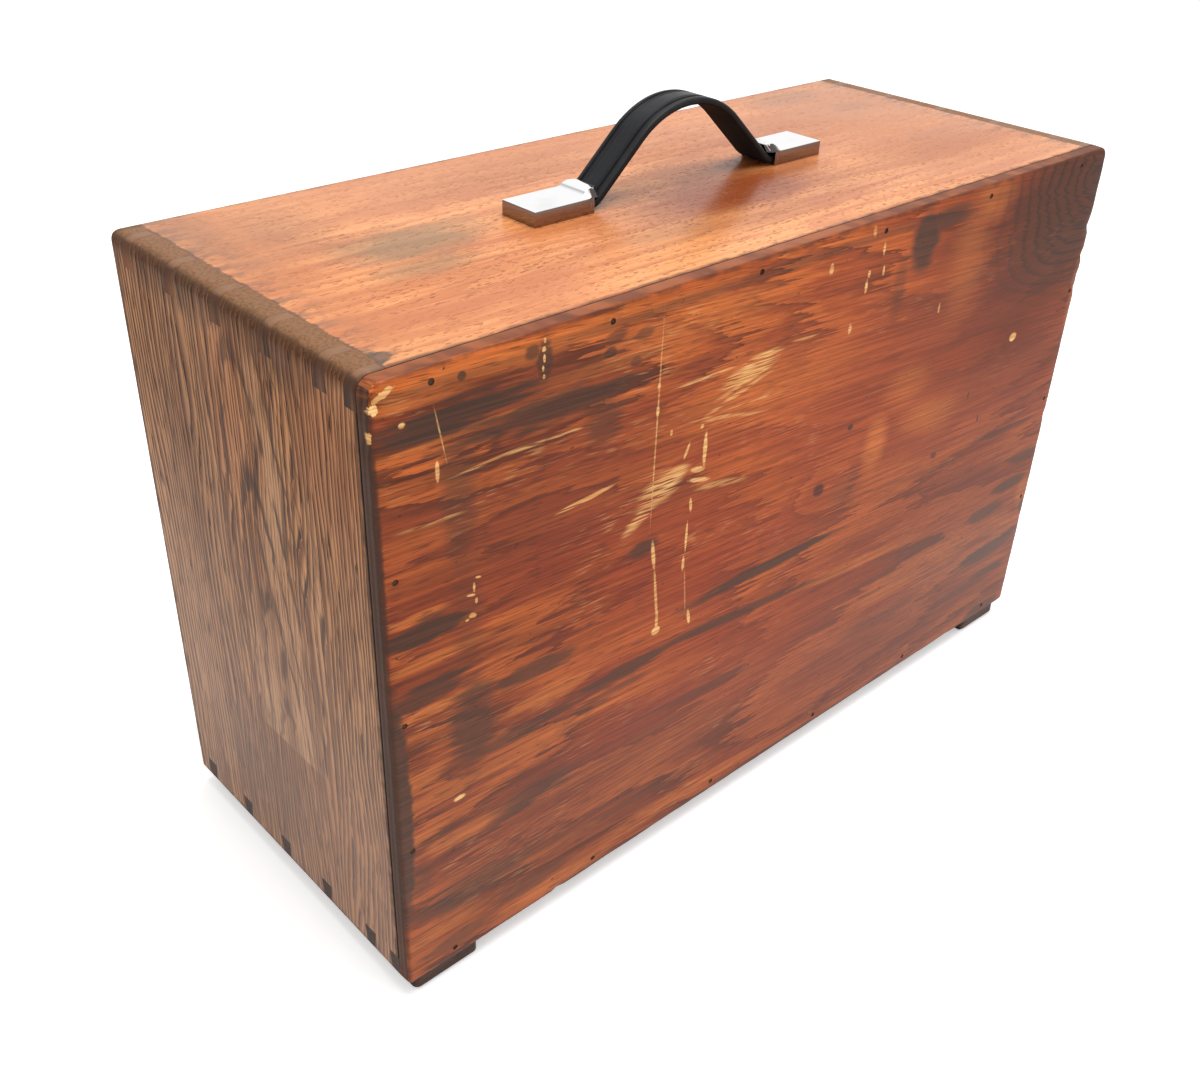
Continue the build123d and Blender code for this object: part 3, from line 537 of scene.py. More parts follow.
def finishTimber(tree, shader, look, colour, grain, dull=None):
    tree.links.new(colour, shader.inputs["Base Color"])
    rough = between(tree, grain["Tone"], 0.25, 0.75, look["rough"] - 0.06, look["rough"] + 0.09)
    rough = calc(tree, "MULTIPLY_ADD", grain["Pores"], 0.15, rough)
    if dull is not None:
        rough = calc(tree, "ADD", rough, dull)
    tree.links.new(rough, shader.inputs["Roughness"])
    shader.inputs["Specular IOR Level"].default_value = look["gloss"]
    relief = calc(tree, "MULTIPLY_ADD", grain["Pores"], -0.7, times(tree, grain["Fibres"], 0.35))
    addBump(tree, shader, relief, look["relief"], 0.6)


def timberMaterial(name, look):
    material, tree, shader = newMaterial(name)
    place, normal, _ = objectPlace(tree, grainTurns[look["grain"]][0])
    colour, grain, _ = timberColours(tree, look, place, normal)
    finishTimber(tree, shader, look, colour, grain)
    return material


# top board: warm oak, dirt along its edges, a greenish stain, painted shade towards the far side and ends,
# and around the strap redder oak with a painted shadow and reflection of the strap; the marks are laid in this order
topMarks = {
    # painted shade towards the far side and the ends of the board
    "shade": [
        (0, -80, 260, 50, 0, 1.7, 0.15, 0.75), (-190, 0, 90, 100, 0, 1.6, 0.15, 0.85),
        (-120, 20, 60, 30, 0, 1.8, 0.15, 0.4), (205, -40, 22, 60, 0, 1.4, 0.2, 0.8),
        (212, 50, 16, 70, 0, 1.5, 0.2, 0.3),
    ],
    # redder oak, and near the strap a painted shadow and reflection of the strap
    "red": [
        (-10, 50, 62, 24, 0, 1.3, 0.12, 0.95), (-2, 78, 64, 14, 0, 1.6, 0.12, 0.5),
        (-70, -8, 60, 30, 0, 1.7, 0.12, 0.45), (-160, 60, 60, 22, 0, 1.7, 0.15, 0.35),
        (60, -30, 60, 20, 0, 1.7, 0.15, 0.3), (-54, 46, 34, 40, 0, 1.5, 0.15, 0.5),
    ],
    "green": [
        (148, 16, 30, 17, 0, 1.1, 0.22, 0.75), (158, 42, 22, 9, 0, 1.1, 0.25, 0.5),
        (120, 12, 14, 12, 0, 1.3, 0.2, 0.4),
    ],
    # dark stains, and broad painted shade on the far side at (214, -45) and (-195, -40)
    "dark": [
        (225, 103, 7.5, 6, 30, 0.35, 0.2, 0.95), (212, 113, 16, 2.5, 0, 0.9, 0.3, 0.6),
        (52, 72, 22, 9, 0, 1.5, 0.15, 0.25), (182, -26, 18, 28, 0, 1.6, 0.15, 0.25),
        (-170, -55, 30, 14, 0, 1.5, 0.2, 0.35), (-190, -20, 16, 8, 0, 1.3, 0.3, 0.3),
        (214, -45, 13, 45, 0, 1.5, 0.3, 0.3), (-195, -40, 60, 50, 0, 1.7, 0.2, 0.13),
    ],
}
# stain colours: shade is painted shade, red serves redder oak and the painted shadow and reflection of the strap,
# dark serves stains and painted shade
topStains = {
    "patch": (0.45, 0.135, 0.045), "shade": (0.45, 0.155, 0.05), "red": (0.2, 0.042, 0.011),
    "green": (0.2, 0.12, 0.055), "dark": (0.07, 0.04, 0.026), "smudge": (0.2, 0.085, 0.04),
    "joint": (0.09, 0.038, 0.02), "rim": (0.07, 0.028, 0.015), "handled": (0.055, 0.021, 0.009),
}
# where each stain starts and is full, from the middle of the board or, for handled, in height
topEdges = {
    "wander": 0.0032, "smudge": (0.206, 0.2245), "strip": (0.2244, 0.2252), "joint": (0.2238, 0.2246),
    "jointEnd": (0.2252, 0.2262), "handled": (0.296, 0.306),
    "rim": {"Centre": (0.0, 0.02, 0.159), "Half Size": (0.238, 0.0922, 0.149), "Width": 0.0034, "Uneven": 0.35},
}


def topMaterial(look):
    material, tree, shader = newMaterial("topOak")
    place, normal, _ = objectPlace(tree)
    parts = splitAxes(tree, place)
    flat = joinAxes(tree, parts["X"], parts["Y"])
    colour, grain, end = timberColours(tree, look, place, normal)
    ragged = scaledNoise(tree, flat, (60, 170, 1), 3, 0.65, flat=True)
    patch = scaledNoise(tree, flat, (9, 20, 1), 3, 0.62, flat=True)
    colour = paint(tree, colour, topStains["patch"], between(tree, patch, 0.46, 0.68, 0.0, 0.6))
    # the marks lay stains, painted shade and a painted shadow and reflection of the strap
    for kind, marks in topMarks.items():
        colour = paint(tree, colour, topStains[kind], paintMarks(tree, flat, marks, ragged))
    # dull worn strip where the tails of the sides come through, with a dark joint and a smudge beside it
    fromMiddle = calc(tree, "ABSOLUTE", parts["X"])
    beyond = calc(tree, "MULTIPLY_ADD", centred(tree, ragged), topEdges["wander"], fromMiddle)
    smudge = times(tree, between(tree, beyond, *topEdges["smudge"], 0.0, 0.7), between(tree, ragged, 0.44, 0.62))
    colour = paint(tree, colour, topStains["smudge"], smudge)
    strip = times(tree, between(tree, beyond, *topEdges["strip"]), facingMask(tree, normal, (0, 0, 1)))
    colour = paint(tree, colour, shaded(timbers["sideOak"]["end"], 0.8), strip, 0.95)
    jointEnd = between(tree, beyond, *topEdges["jointEnd"], 1.0, 0.0)
    joint = times(tree, between(tree, beyond, *topEdges["joint"]), jointEnd)
    colour = paint(tree, colour, topStains["joint"], joint, 0.7)
    # dirt along every edge, most on the upper edges of the ends
    rim = useGroup(tree, rimMask, {"Vector": place, **topEdges["rim"]})["Mask"]
    colour = paint(tree, colour, topStains["rim"], rim, 0.85)
    handled = between(tree, parts["Z"], *topEdges["handled"], 0.0, 0.8)
    handled = times(tree, handled, facingMask(tree, normal, (1, 0, 0), 0.5, 0.8))
    colour = paint(tree, colour, topStains["handled"], handled)
    dull = times(tree, calc(tree, "MAXIMUM", rim, strip), 0.2)
    finishTimber(tree, shader, look, colour, grain, calc(tree, "MULTIPLY_ADD", end, 0.5, dull))
    return material


# side boards: greyer oak, arched figure, a paler rubbed patch, and dirt towards the edges;
# marks give y and height on the board, and are laid in this order
sideMarks = {
    "red": [
        (88, 270, 22, 36, 0, 1.7, 0.15, 0.4), (14, 262, 12, 40, 0, 1.5, 0.15, 0.35),
        (70, 60, 34, 40, 0, 1.7, 0.15, 0.3),
    ],
    "pale": [
        (44, 158, 15, 34, -12, 1.3, 0.35, 0.5), (42, 222, 8, 44, -10, 1.0, 0.4, 0.6),
        (37, 272, 6, 20, -4, 1.0, 0.35, 0.5), (72, 190, 3, 60, 0, 1.2, 0.3, 0.3), (-5, 180, 5, 60, 0, 1.4, 0.3, 0.25),
    ],
    "dark": [
        (32, 232, 1.6, 20, -14, 0.7, 0.3, 0.85), (30, 198, 1.3, 18, 10, 0.7, 0.3, 0.8),
        (37, 145, 2.4, 9, -6, 0.8, 0.3, 0.85), (22, 185, 1.2, 26, 3, 0.8, 0.3, 0.7),
        (52, 225, 1.3, 26, -6, 0.7, 0.35, 0.7), (50, 262, 1.1, 16, -6, 0.7, 0.35, 0.6),
        (10, 252, 0.6, 26, 0, 0.6, 0.12, 0.8), (-28, 215, 22, 90, 0, 1.8, 0.15, 0.3),
        (5, 58, 36, 34, 0, 1.6, 0.1, 0.35), (58, 296, 26, 9, 0, 1.4, 0.25, 0.55),
        (-20, 298, 40, 8, 0, 1.4, 0.25, 0.5), (64, 130, 1.2, 34, 0, 0.8, 0.3, 0.5),
    ],
    "arches": [(30, 200, 40, 120, 0, 1.3, 0.1, 1.0)],
}
sideStains = {
    "pale": (0.58, 0.32, 0.17), "dark": (0.075, 0.035, 0.022), "red": (0.33, 0.115, 0.048),
    "arches": (0.06, 0.027, 0.017), "dust": (0.45, 0.34, 0.29), "handled": (0.055, 0.021, 0.009),
    "rim": (0.085, 0.046, 0.026), "seam": (0.012, 0.008, 0.007),
}
# where each mask starts and is full: heights, or y for the patch's sides and the seam with the panel
sideEdges = {
    "patchFoot": (0.0945, 0.0965), "patchTop": (0.108, 0.2), "patchFar": (0.006, 0.016), "patchNear": (0.056, 0.068),
    "patchWander": 0.012, "dust": (0.29, 0.05), "handled": (0.296, 0.306), "seam": (0.1109, 0.1114),
    "rim": {"Centre": (0.0, 0.02, 0.159), "Half Size": (0.238, 0.0924, 0.149), "Width": 0.0048, "Uneven": 0.35},
}
sideArches = {
    "Ring Gap": 0.0062, "Wander": 0.02, "Arch Depth": 0.0, "Arch Slope": 0.11, "Pore Length": 0.02,
    "Pore Width": 0.001, "Seed": 2.6,
}
archMiddle = 0.0395


def sideMaterial(look):
    material, tree, shader = newMaterial("sideOak")
    place, normal, coordinates = objectPlace(tree, grainTurns["Z"][0], (0.0, -0.038, 0.0))
    colour, grain, _ = timberColours(tree, look, place, normal)
    parts = splitAxes(tree, coordinates)
    flat = joinAxes(tree, parts["Y"], parts["Z"])
    ragged = scaledNoise(tree, flat, (300, 32, 1), 3, 0.6, flat=True)
    plain = blendColour(tree, between(tree, grain["Shade"], 0.3, 0.7), look["light"], look["dark"])
    plain = darken(tree, plain, between(tree, grain["Fibres"], 0.3, 0.7, 1.0, 0.6))
    colour = blendColour(tree, facingMask(tree, normal, (0, 1, 0)), colour, plain)
    outer = facingMask(tree, normal, (1, 0, 0), 0.5, 0.8)
    outerLeft = times(tree, outer, between(tree, parts["X"], 0.0, 0.001))
    masks = {kind: paintMarks(tree, flat, marks, ragged) for kind, marks in sideMarks.items()}
    # a rubbed patch that ends in a straight line above the foot of the board
    patchHeight = times(
        tree, between(tree, parts["Z"], *sideEdges["patchFoot"]),
        between(tree, parts["Z"], *sideEdges["patchTop"], 1.0, 0.0),
    )
    wavyY = calc(tree, "MULTIPLY_ADD", centred(tree, ragged), sideEdges["patchWander"], parts["Y"])
    patchWidth = times(
        tree, between(tree, wavyY, *sideEdges["patchFar"]), between(tree, wavyY, *sideEdges["patchNear"], 1.0, 0.0)
    )
    patch = times(tree, times(tree, patchHeight, patchWidth), 0.8)
    pale = calc(tree, "MAXIMUM", masks["pale"], patch)
    masks["pale"] = times(tree, pale, between(tree, grain["Shade"], 0.42, 0.6, 1.0, 0.35))
    for kind in ("red", "pale", "dark"):
        colour = paint(tree, colour, sideStains[kind], masks[kind], outerLeft)
    # tall nested arches of dark growth lines, on the outer face of one board
    zone = times(tree, masks["arches"], outerLeft)
    wave = centred(tree, scaledNoise(tree, flat, (20, 42, 1), 2, 0.6, flat=True, seed=1.9))
    archY = calc(tree, "MULTIPLY_ADD", parts["Z"], 0.05, parts["Y"])
    archY = calc(tree, "MULTIPLY_ADD", wave, 0.008, archY)
    archPlace = joinAxes(tree, parts["Z"], calc(tree, "SUBTRACT", archY, archMiddle))
    arches = useGroup(tree, boardGrain, {"Vector": archPlace, **sideArches})["Lines"]
    figure = calc(tree, "MAXIMUM", times(tree, grain["Lines"], 0.75), times(tree, grain["Pores"], 0.75))
    figure = times(tree, figure, calc(tree, "MULTIPLY_ADD", zone, -0.4, 1.0))
    colour = paint(tree, colour, look["pore"], figure, outer)
    colour = paint(tree, colour, sideStains["arches"], zone, times(tree, arches, 0.85))
    # greyer towards the foot, and dark where hands rub along the upper edge
    dust = between(tree, parts["Z"], *sideEdges["dust"], 0.0, 0.34)
    colour = paint(tree, colour, sideStains["dust"], dust, outer)
    handled = between(tree, parts["Z"], *sideEdges["handled"], 0.0, 0.8)
    colour = paint(tree, colour, sideStains["handled"], handled, outer)
    rim = useGroup(tree, rimMask, {"Vector": coordinates, **sideEdges["rim"]})["Mask"]
    colour = paint(tree, colour, sideStains["rim"], rim, 0.85)
    colour = paint(tree, colour, sideStains["seam"], between(tree, parts["Y"], *sideEdges["seam"]), 0.9)
    finishTimber(tree, shader, look, colour, grain, times(tree, rim, 0.1))
    return material


# plywood back: marks give x and height on the panel; combed ones only caught the raised fibres
backLook = {
    "light": (0.62, 0.145, 0.032), "mid": (0.39, 0.076, 0.023), "dark": (0.115, 0.029, 0.015),
    "red": (0.33, 0.055, 0.022), "calm": (0.47, 0.097, 0.027), "orange": (0.7, 0.19, 0.042),
    "tan": (0.75, 0.36, 0.14), "bare": (0.95, 0.6, 0.25), "bareEdge": (0.66, 0.29, 0.09), "ringGap": 0.022,
    "wander": 0.16, "tornTips": 0.11, "grainTilt": 0.06, "rough": 0.36, "gloss": 0.09,
}
backMarks = {
    "sootAndShade": [
        (200, 285.5, 40, 6.5, 0, 0.7, 0.4, 0.94), (160, 274.5, 46, 6.5, 2, 0.8, 0.45, 0.88),
        (130, 260, 11, 12, 0, 1.4, 0.25, 0.65), (133, 270, 12, 3, 0, 0.8, 0.35, 0.7),
        (167, 300, 4, 3, 0, 0.8, 0.3, 0.8), (161, 295, 4, 9, 0, 0.8, 0.3, 0.85),
        (128, 289, 3.5, 2.5, 0, 0.7, 0.3, 0.8), (125, 295, 6, 2.5, 0, 0.8, 0.4, 0.65),
        (110, 292, 5, 2.2, 0, 0.8, 0.4, 0.65), (114, 281, 3, 2.6, 0, 0.8, 0.3, 0.65),
        (199, 300, 2.1, 1.9, 0, 0.5, 0.1, 0.9), (202, 252, 9, 34, 0, 1.3, 0.3, 0.62),
        (200, 205, 9, 44, 0, 1.6, 0.3, 0.45), (236, 112, 6, 66, 0, 0.5, 0.14, 0.96),
        (238, 240, 2.2, 60, 0, 0.8, 0.2, 0.85), (222, 199, 22, 6.5, 0, 0.6, 0.45, 0.94),
        (219, 170, 20, 6, 0, 0.8, 0.45, 0.85), (198, 143, 13, 26, 0, 1.0, 0.4, 0.85),
        (166, 154, 22, 4.5, 0, 0.7, 0.5, 0.8), (176, 124, 34, 4, 0, 0.8, 0.5, 0.75),
        (164, 84, 28, 8, 0, 0.8, 0.45, 0.72), (200, 49, 38, 8, 0, 0.9, 0.45, 0.75),
        (168, 28, 26, 6, 0, 0.9, 0.45, 0.6), (208, 22, 24, 4, 0, 0.8, 0.5, 0.65), (230, 70, 10, 12, 0, 1.0, 0.4, 0.6),
        (112, 126.5, 34, 4, 0, 0.7, 0.4, 0.85), (104, 190, 9, 4, 0, 0.7, 0.35, 0.85),
        (122, 118, 24, 3, 0, 0.9, 0.4, 0.5), (66, 88, 46, 2.4, 5, 0.9, 0.4, 0.5), (100, 60, 60, 5, 2, 1.2, 0.4, 0.35),
        (18, 143.5, 54, 3.1, 1, 0.6, 0.3, 0.92), (38, 123.5, 66, 2.6, 5, 0.7, 0.35, 0.8),
        (110, 40, 70, 3.2, 3, 1.0, 0.45, 0.5), (-76, 290, 11, 15, 0, 0.7, 0.22, 0.92),
        (-92, 298, 22, 6, 0, 1.0, 0.25, 0.8), (-60, 270, 5, 16, 0, 1.3, 0.2, 0.45),
        (-41, 164, 12, 11, 0, 1.6, 0.15, 0.42), (-238, 292, 20, 15, 0, 1.0, 0.15, 0.75),
        (-225, 266, 8, 20, 0, 1.3, 0.15, 0.55), (-190, 151, 34, 2.8, 4, 0.8, 0.3, 0.72),
        (-222, 124, 20, 5, 4, 0.8, 0.3, 0.8), (-212, 107, 20, 4.5, 3, 0.7, 0.28, 0.88),
        (-190, 95, 22, 5, 3, 0.8, 0.3, 0.82), (-234, 84, 4, 5, 0, 0.7, 0.2, 0.8),
        (-202, 63, 30, 6, 1, 0.7, 0.28, 0.86), (-209, 45, 20, 3.6, 0, 0.7, 0.28, 0.82),
        (-180, 42, 32, 4, 3, 1.0, 0.3, 0.65), (-210, 15, 20, 4.5, 0, 0.8, 0.25, 0.85),
        (-125, 98, 34, 7, 6, 1.2, 0.3, 0.55), (-100, 60, 50, 6, 4, 1.3, 0.3, 0.45),
        (-115, 150, 60, 2, 7, 0.9, 0.3, 0.5), (-120, 142, 50, 1.6, 7, 0.9, 0.3, 0.4),
        (-37, 203, 2, 1.6, 0, 0.6, 0.15, 0.85), (-119, 159, 3, 2, 30, 0.6, 0.2, 0.8),
        (-158, 169, 0.8, 2.4, 0, 0.6, 0.15, 0.9), (-143, 188, 0.7, 2.6, 0, 0.6, 0.15, 0.85),
        (0, 300, 240, 2.4, 0, 1.2, 0.3, 0.45), (0, 11, 240, 2.2, 0, 1.2, 0.4, 0.8),
        # the six broad soft marks that follow are painted shade towards the ends of the panel
        (205, 110, 70, 100, 0, 1.9, 0.2, 0.3), (150, 60, 110, 40, 0, 1.8, 0.2, 0.35),
        (-170, 90, 140, 90, 0, 1.8, 0.2, 0.32), (-190, 250, 95, 80, 0, 1.7, 0.15, 0.5),
        (175, 235, 70, 40, 0, 1.8, 0.2, 0.3), (170, 284, 70, 12, 0, 1.4, 0.2, 0.35),
        (175, 60, 60, 9, 0, 1.0, 0.4, 0.4),
    ],
    "red": [
        (-60, 205, 80, 34, 0, 1.5, 0.12, 0.45), (-163, 249, 24, 13, 0, 1.2, 0.15, 0.8),
        (100, 190, 60, 12, 2, 1.2, 0.3, 0.6), (60, 165, 90, 16, 2, 1.2, 0.25, 0.65),
        (-185, 190, 60, 40, 0, 1.6, 0.15, 0.5), (150, 208, 50, 12, 2, 1.0, 0.3, 0.7),
        (110, 92, 54, 12, 0, 0.8, 0.3, 0.8), (30, 80, 80, 22, 3, 1.4, 0.25, 0.6), (170, 66, 60, 14, 2, 1.2, 0.3, 0.6),
        (150, 130, 60, 9, 2, 1.2, 0.3, 0.45), (60, 242, 150, 16, 0, 1.4, 0.2, 0.4),
        (-60, 40, 100, 24, 3, 1.6, 0.2, 0.5),
    ],
    "orange": [
        (165, 301, 70, 4.5, 0, 1.0, 0.35, 0.75), (190, 278.5, 46, 1.6, -1, 0.8, 0.35, 0.8),
        (215, 296, 24, 2.2, 0, 1.0, 0.3, 0.5), (120, 284, 40, 2.4, 0, 1.1, 0.35, 0.5),
        (70, 290, 44, 7, 0, 1.4, 0.2, 0.55), (-133, 299, 16, 11, 0, 1.3, 0.2, 0.75),
        (-118, 272, 14, 26, 0, 1.5, 0.2, 0.55), (224, 207, 14, 2.4, 0, 0.8, 0.3, 0.85),
        (216, 185, 24, 2.6, 2, 0.8, 0.4, 0.8), (214, 160.5, 26, 2.6, 0, 0.7, 0.45, 0.9),
        (156, 137, 26, 4.6, 0, 0.6, 0.5, 0.8), (226, 128, 14, 5, 0, 1.0, 0.4, 0.75),
        (196, 112, 40, 2.4, 3, 0.8, 0.4, 0.6), (150, 113, 50, 2, 3, 0.8, 0.4, 0.5),
        (202, 85, 22, 4.4, 0, 0.6, 0.5, 0.8), (228, 96, 12, 3, 0, 0.8, 0.4, 0.75),
        (222, 34, 20, 3.4, 0, 0.8, 0.45, 0.7), (150, 18, 34, 5, 2, 1.1, 0.4, 0.7), (60, 22, 60, 4, 2, 1.2, 0.4, 0.5),
        (-236, 238, 4, 34, 0, 1.0, 0.2, 0.7), (40, 244, 60, 14, 2, 1.5, 0.2, 0.45),
        (-61, 186, 8, 14, 0, 1.3, 0.15, 0.7), (-106, 188, 22, 9, 10, 1.4, 0.2, 0.6),
        (-82, 212, 16, 10, 0, 1.5, 0.2, 0.5), (-90, 80, 26, 5, 4, 1.2, 0.3, 0.5),
        (-60, 112, 50, 3, 5, 1.0, 0.35, 0.5), (-232, 96, 7, 12, 0, 1.0, 0.2, 0.6),
    ],
    "bare": [
        (100, 248, 0.45, 43, 0.5, 0.8, 0.16, 0.55), (100, 266, 0.8, 1.7, 0, 0.6, 0.1, 0.85),
        (100, 255, 0.9, 2.4, 0, 0.6, 0.1, 0.9), (97.4, 183.5, 1.1, 7.5, -8, 0.6, 0.1, 0.9),
        (94.2, 160, 0.8, 15, -7, 0.8, 0.2, 0.75), (92.8, 140, 2.7, 2.3, 0, 0.4, 0.06, 1.0),
        (92.6, 146, 0.9, 6, 0, 0.6, 0.12, 0.8), (75.5, 201, 0.9, 3.4, -6, 0.6, 0.12, 0.95),
        (76.8, 185, 0.75, 7.6, 0, 0.6, 0.12, 0.95), (77.6, 170.6, 0.85, 3.9, 0, 0.6, 0.12, 0.9),
        (71, 138, 1.0, 4.3, -10, 0.5, 0.1, 0.95), (75, 155, 0.4, 12, -6, 0.9, 0.2, 0.4),
        (69, 227, 1.2, 8.2, 0, 0.5, 0.16, 1.0), (72.8, 218, 4.6, 1.4, 14, 0.6, 0.2, 0.95),
        (71.5, 212.4, 6.5, 1.1, 15, 0.6, 0.2, 0.95), (80.5, 230, 0.8, 3.8, 24, 0.6, 0.1, 0.9),
        (91, 242, 0.8, 1.3, 0, 0.6, 0.1, 0.9), (72, 239, 1.0, 0.9, 0, 0.6, 0.1, 0.9),
        (161, 303, 0.7, 1.0, 0, 0.5, 0.3, 0.9), (161.6, 299.6, 0.9, 1.1, 0, 0.5, 0.3, 0.95),
        (161.3, 296, 0.6, 1.7, 0, 0.5, 0.3, 0.9), (161.9, 292, 0.5, 1.2, 0, 0.5, 0.3, 0.8),
        (161.5, 288.6, 0.6, 0.9, 0, 0.5, 0.3, 0.8), (209, 280, 0.35, 10.5, -11, 0.8, 0.15, 0.5),
        (211, 266, 0.9, 4.2, 0, 0.5, 0.12, 0.95), (225, 289, 1.3, 1.1, 0, 0.6, 0.2, 0.9),
        (194, 213.5, 1.5, 0.6, 20, 0.6, 0.3, 0.8), (196, 209.5, 0.6, 1.9, 0, 0.6, 0.3, 0.8),
        (197.6, 206.5, 1.9, 0.6, 15, 0.6, 0.3, 0.85), (195, 203, 0.6, 1.3, 0, 0.6, 0.3, 0.7),
        (197, 196.6, 1.7, 1.1, 10, 0.6, 0.3, 0.95), (199.8, 195.6, 1.0, 0.6, 0, 0.6, 0.3, 0.8),
        (206.5, 106, 2.8, 1.2, 0, 0.7, 0.25, 0.95), (-178, 213, 3.3, 2.5, 0, 0.4, 0.12, 1.0),
        (-43, 293, 0.9, 3, 0, 0.6, 0.3, 0.85), (-45, 282, 0.8, 2.4, 0, 0.6, 0.3, 0.8),
        (-34, 283, 1.0, 1.6, 0, 0.6, 0.3, 0.85), (-33, 277, 1.0, 3, 0, 0.6, 0.3, 0.9),
        (-5, 292, 1.4, 2.4, 0, 0.6, 0.3, 0.8), (-34, 303, 1.2, 2.2, 0, 0.7, 0.3, 0.6),
        (-25, 258, 1.2, 2.6, 0, 0.6, 0.3, 0.7), (-98, 250, 0.8, 2.8, 0, 0.6, 0.3, 0.6),
        (231.5, 301.5, 4.6, 1.2, -34, 0.3, 0.5, 1.0), (235.3, 297.5, 1.8, 1.6, 0, 0.3, 0.5, 1.0),
        (237.3, 287, 0.6, 2.2, 0, 0.4, 0.4, 0.9), (-239, 232, 2, 9, 0, 0.6, 0.35, 0.8),
        (-239, 262, 1.4, 6, 0, 0.6, 0.35, 0.7),
    ],
    "combed": [
        (96, 216, 13, 6.5, -20, 0.8, 0.3, 1.0), (106, 207, 10, 3.2, -26, 0.8, 0.3, 1.0),
        (42, 258, 19, 4.2, -12, 0.6, 0.3, 1.0), (88, 221, 9, 3, -8, 0.7, 0.3, 1.0),
        (72, 262, 18, 0.8, 0, 0.8, 0.25, 0.75), (44, 253, 16, 1.4, -12, 0.8, 0.3, 0.9),
        (50, 248, 19, 1.1, -13, 0.9, 0.3, 0.75), (9, 262.6, 8, 0.6, 4, 0.8, 0.25, 0.8),
        (58, 239, 22, 1.0, 12, 0.9, 0.3, 0.75), (38, 241, 18, 0.8, 3, 0.9, 0.3, 0.65),
        (140, 227.4, 15, 1.1, -4, 0.6, 0.25, 1.0), (169, 262, 9, 0.7, 0, 0.8, 0.25, 0.75),
        (147, 261.4, 13, 0.6, 2, 0.9, 0.25, 0.65), (56, 205, 14, 1.6, 12, 1.0, 0.3, 0.7),
        (215, 246, 14, 0.8, 4, 0.9, 0.3, 0.5), (190, 262, 16, 0.6, -3, 0.9, 0.3, 0.55),
    ],
    "knot": [(-18, 174, 4.2, 3.4, 20, 0.6, 0.06, 0.75)],
}
# spots that fade out all round: x, height, half width, half height and softness
backSpots = {
    "knot": (-18, 174, 16, 9, 2.0), "calm": (-70, 215, 120, 60, 1.6), "closeLines": (-130, 90, 150, 80, 1.7),
    "paleLines": (140, 58, 90, 11, 0.9), "farCornerShade": (-215, 270, 115, 75, 1.7), "swirl": (-215, 282, 62, 44, 1.2),
}
backStains = {
    "sootAndShade": (0.055, 0.033, 0.024), "sootAndShadeOnFibres": (0.11, 0.045, 0.028), "farCornerShade": (0.8, 0.55, 0.38),
    "footShade": (0.82, 0.8, 0.8), "swirl": (0.125, 0.036, 0.016), "swirlLine": (0.04, 0.017, 0.01),
    "dust": (0.45, 0.34, 0.3), "knot": (0.06, 0.025, 0.018), "specks": (0.05, 0.022, 0.016),
    "rim": (0.075, 0.031, 0.02), "seam": (0.02, 0.011, 0.008),
    # the layers at the edge of the sheet, and its upper edge
    "layers": ((0.085, 0.04, 0.024), (0.05, 0.025, 0.017)), "topEdge": ((0.26, 0.085, 0.036), (0.13, 0.045, 0.024)),
}
# where each mask starts and is full: heights, or y for the seam with the boards and the outer face
backEdges = {
    "footShade": (0.085, 0.04), "dust": (0.2, 0.05), "seam": (0.1119, 0.1124), "outerFace": (0.1148, 0.1162),
    "rim": {"Centre": (0, 0.018, 0.159), "Half Size": (0.238, 0.10075, 0.149), "Width": 0.003, "Uneven": 0.3},
}
backLines = {"pale": 0.0024, "layer": 0.0028, "swirl": 0.0066, "swirlX": 0.235, "swirlZ": 0.295, "swirlStretch": 0.7}


def softSpot(tree, place, x, y, halfX, halfY, softness):
    return useGroup(tree, placedMark, {
        "Vector": place, "Centre": (x * millimetre, y * millimetre, 0),
        "Size": (halfX * millimetre, halfY * millimetre, 1), "Softness": softness, "Ragged": 0.0,
    })["Mask"]


def repeating(tree, value, gap):
    # runs from 0 to 1 again and again, once for each gap
    return calc(tree, "FRACT", calc(tree, "DIVIDE", value, gap), 0.0)


def veneerColours(tree, look, veneer, spots, parts):
    # the bare veneer: contour rings, close lines, streaks and redder patches
    rings, streaks, tone = veneer["Rings"], veneer["Streaks"], veneer["Tone"]
    lively = calc(tree, "SUBTRACT", 1.0, times(tree, spots["calm"], 0.72))
    nearSide = between(tree, parts["X"], -0.1, 0.16, 0.35, 1.0)
    colour = colourRamp(tree, rings, [
        (0.0, look["light"]), (0.3, look["light"]), (0.5, look["mid"]), (0.7, look["mid"]), (0.9, look["dark"]),
        (0.975, look["dark"]), (1.0, look["light"]),
    ])
    colour = paint(tree, colour, look["calm"], calc(tree, "SUBTRACT", 1.0, times(tree, lively, 0.85)))
    closeLines = times(tree, spots["closeLines"], between(tree, veneer["Fine Rings"], 0.45, 0.95))
    colour = paint(tree, colour, look["dark"], closeLines, 0.55)
    nearAndLively = times(tree, nearSide, lively)
    darkStreak = times(tree, between(tree, streaks, 0.53, 0.66), nearAndLively)
    colour = paint(tree, colour, look["dark"], darkStreak, 0.42)
    lightStreak = times(tree, between(tree, streaks, 0.45, 0.33), nearAndLively)
    colour = paint(tree, colour, look["orange"], lightStreak, 0.3)
    return paint(tree, colour, look["red"], between(tree, tone, 0.45, 0.7, 0.0, 0.5)), nearSide


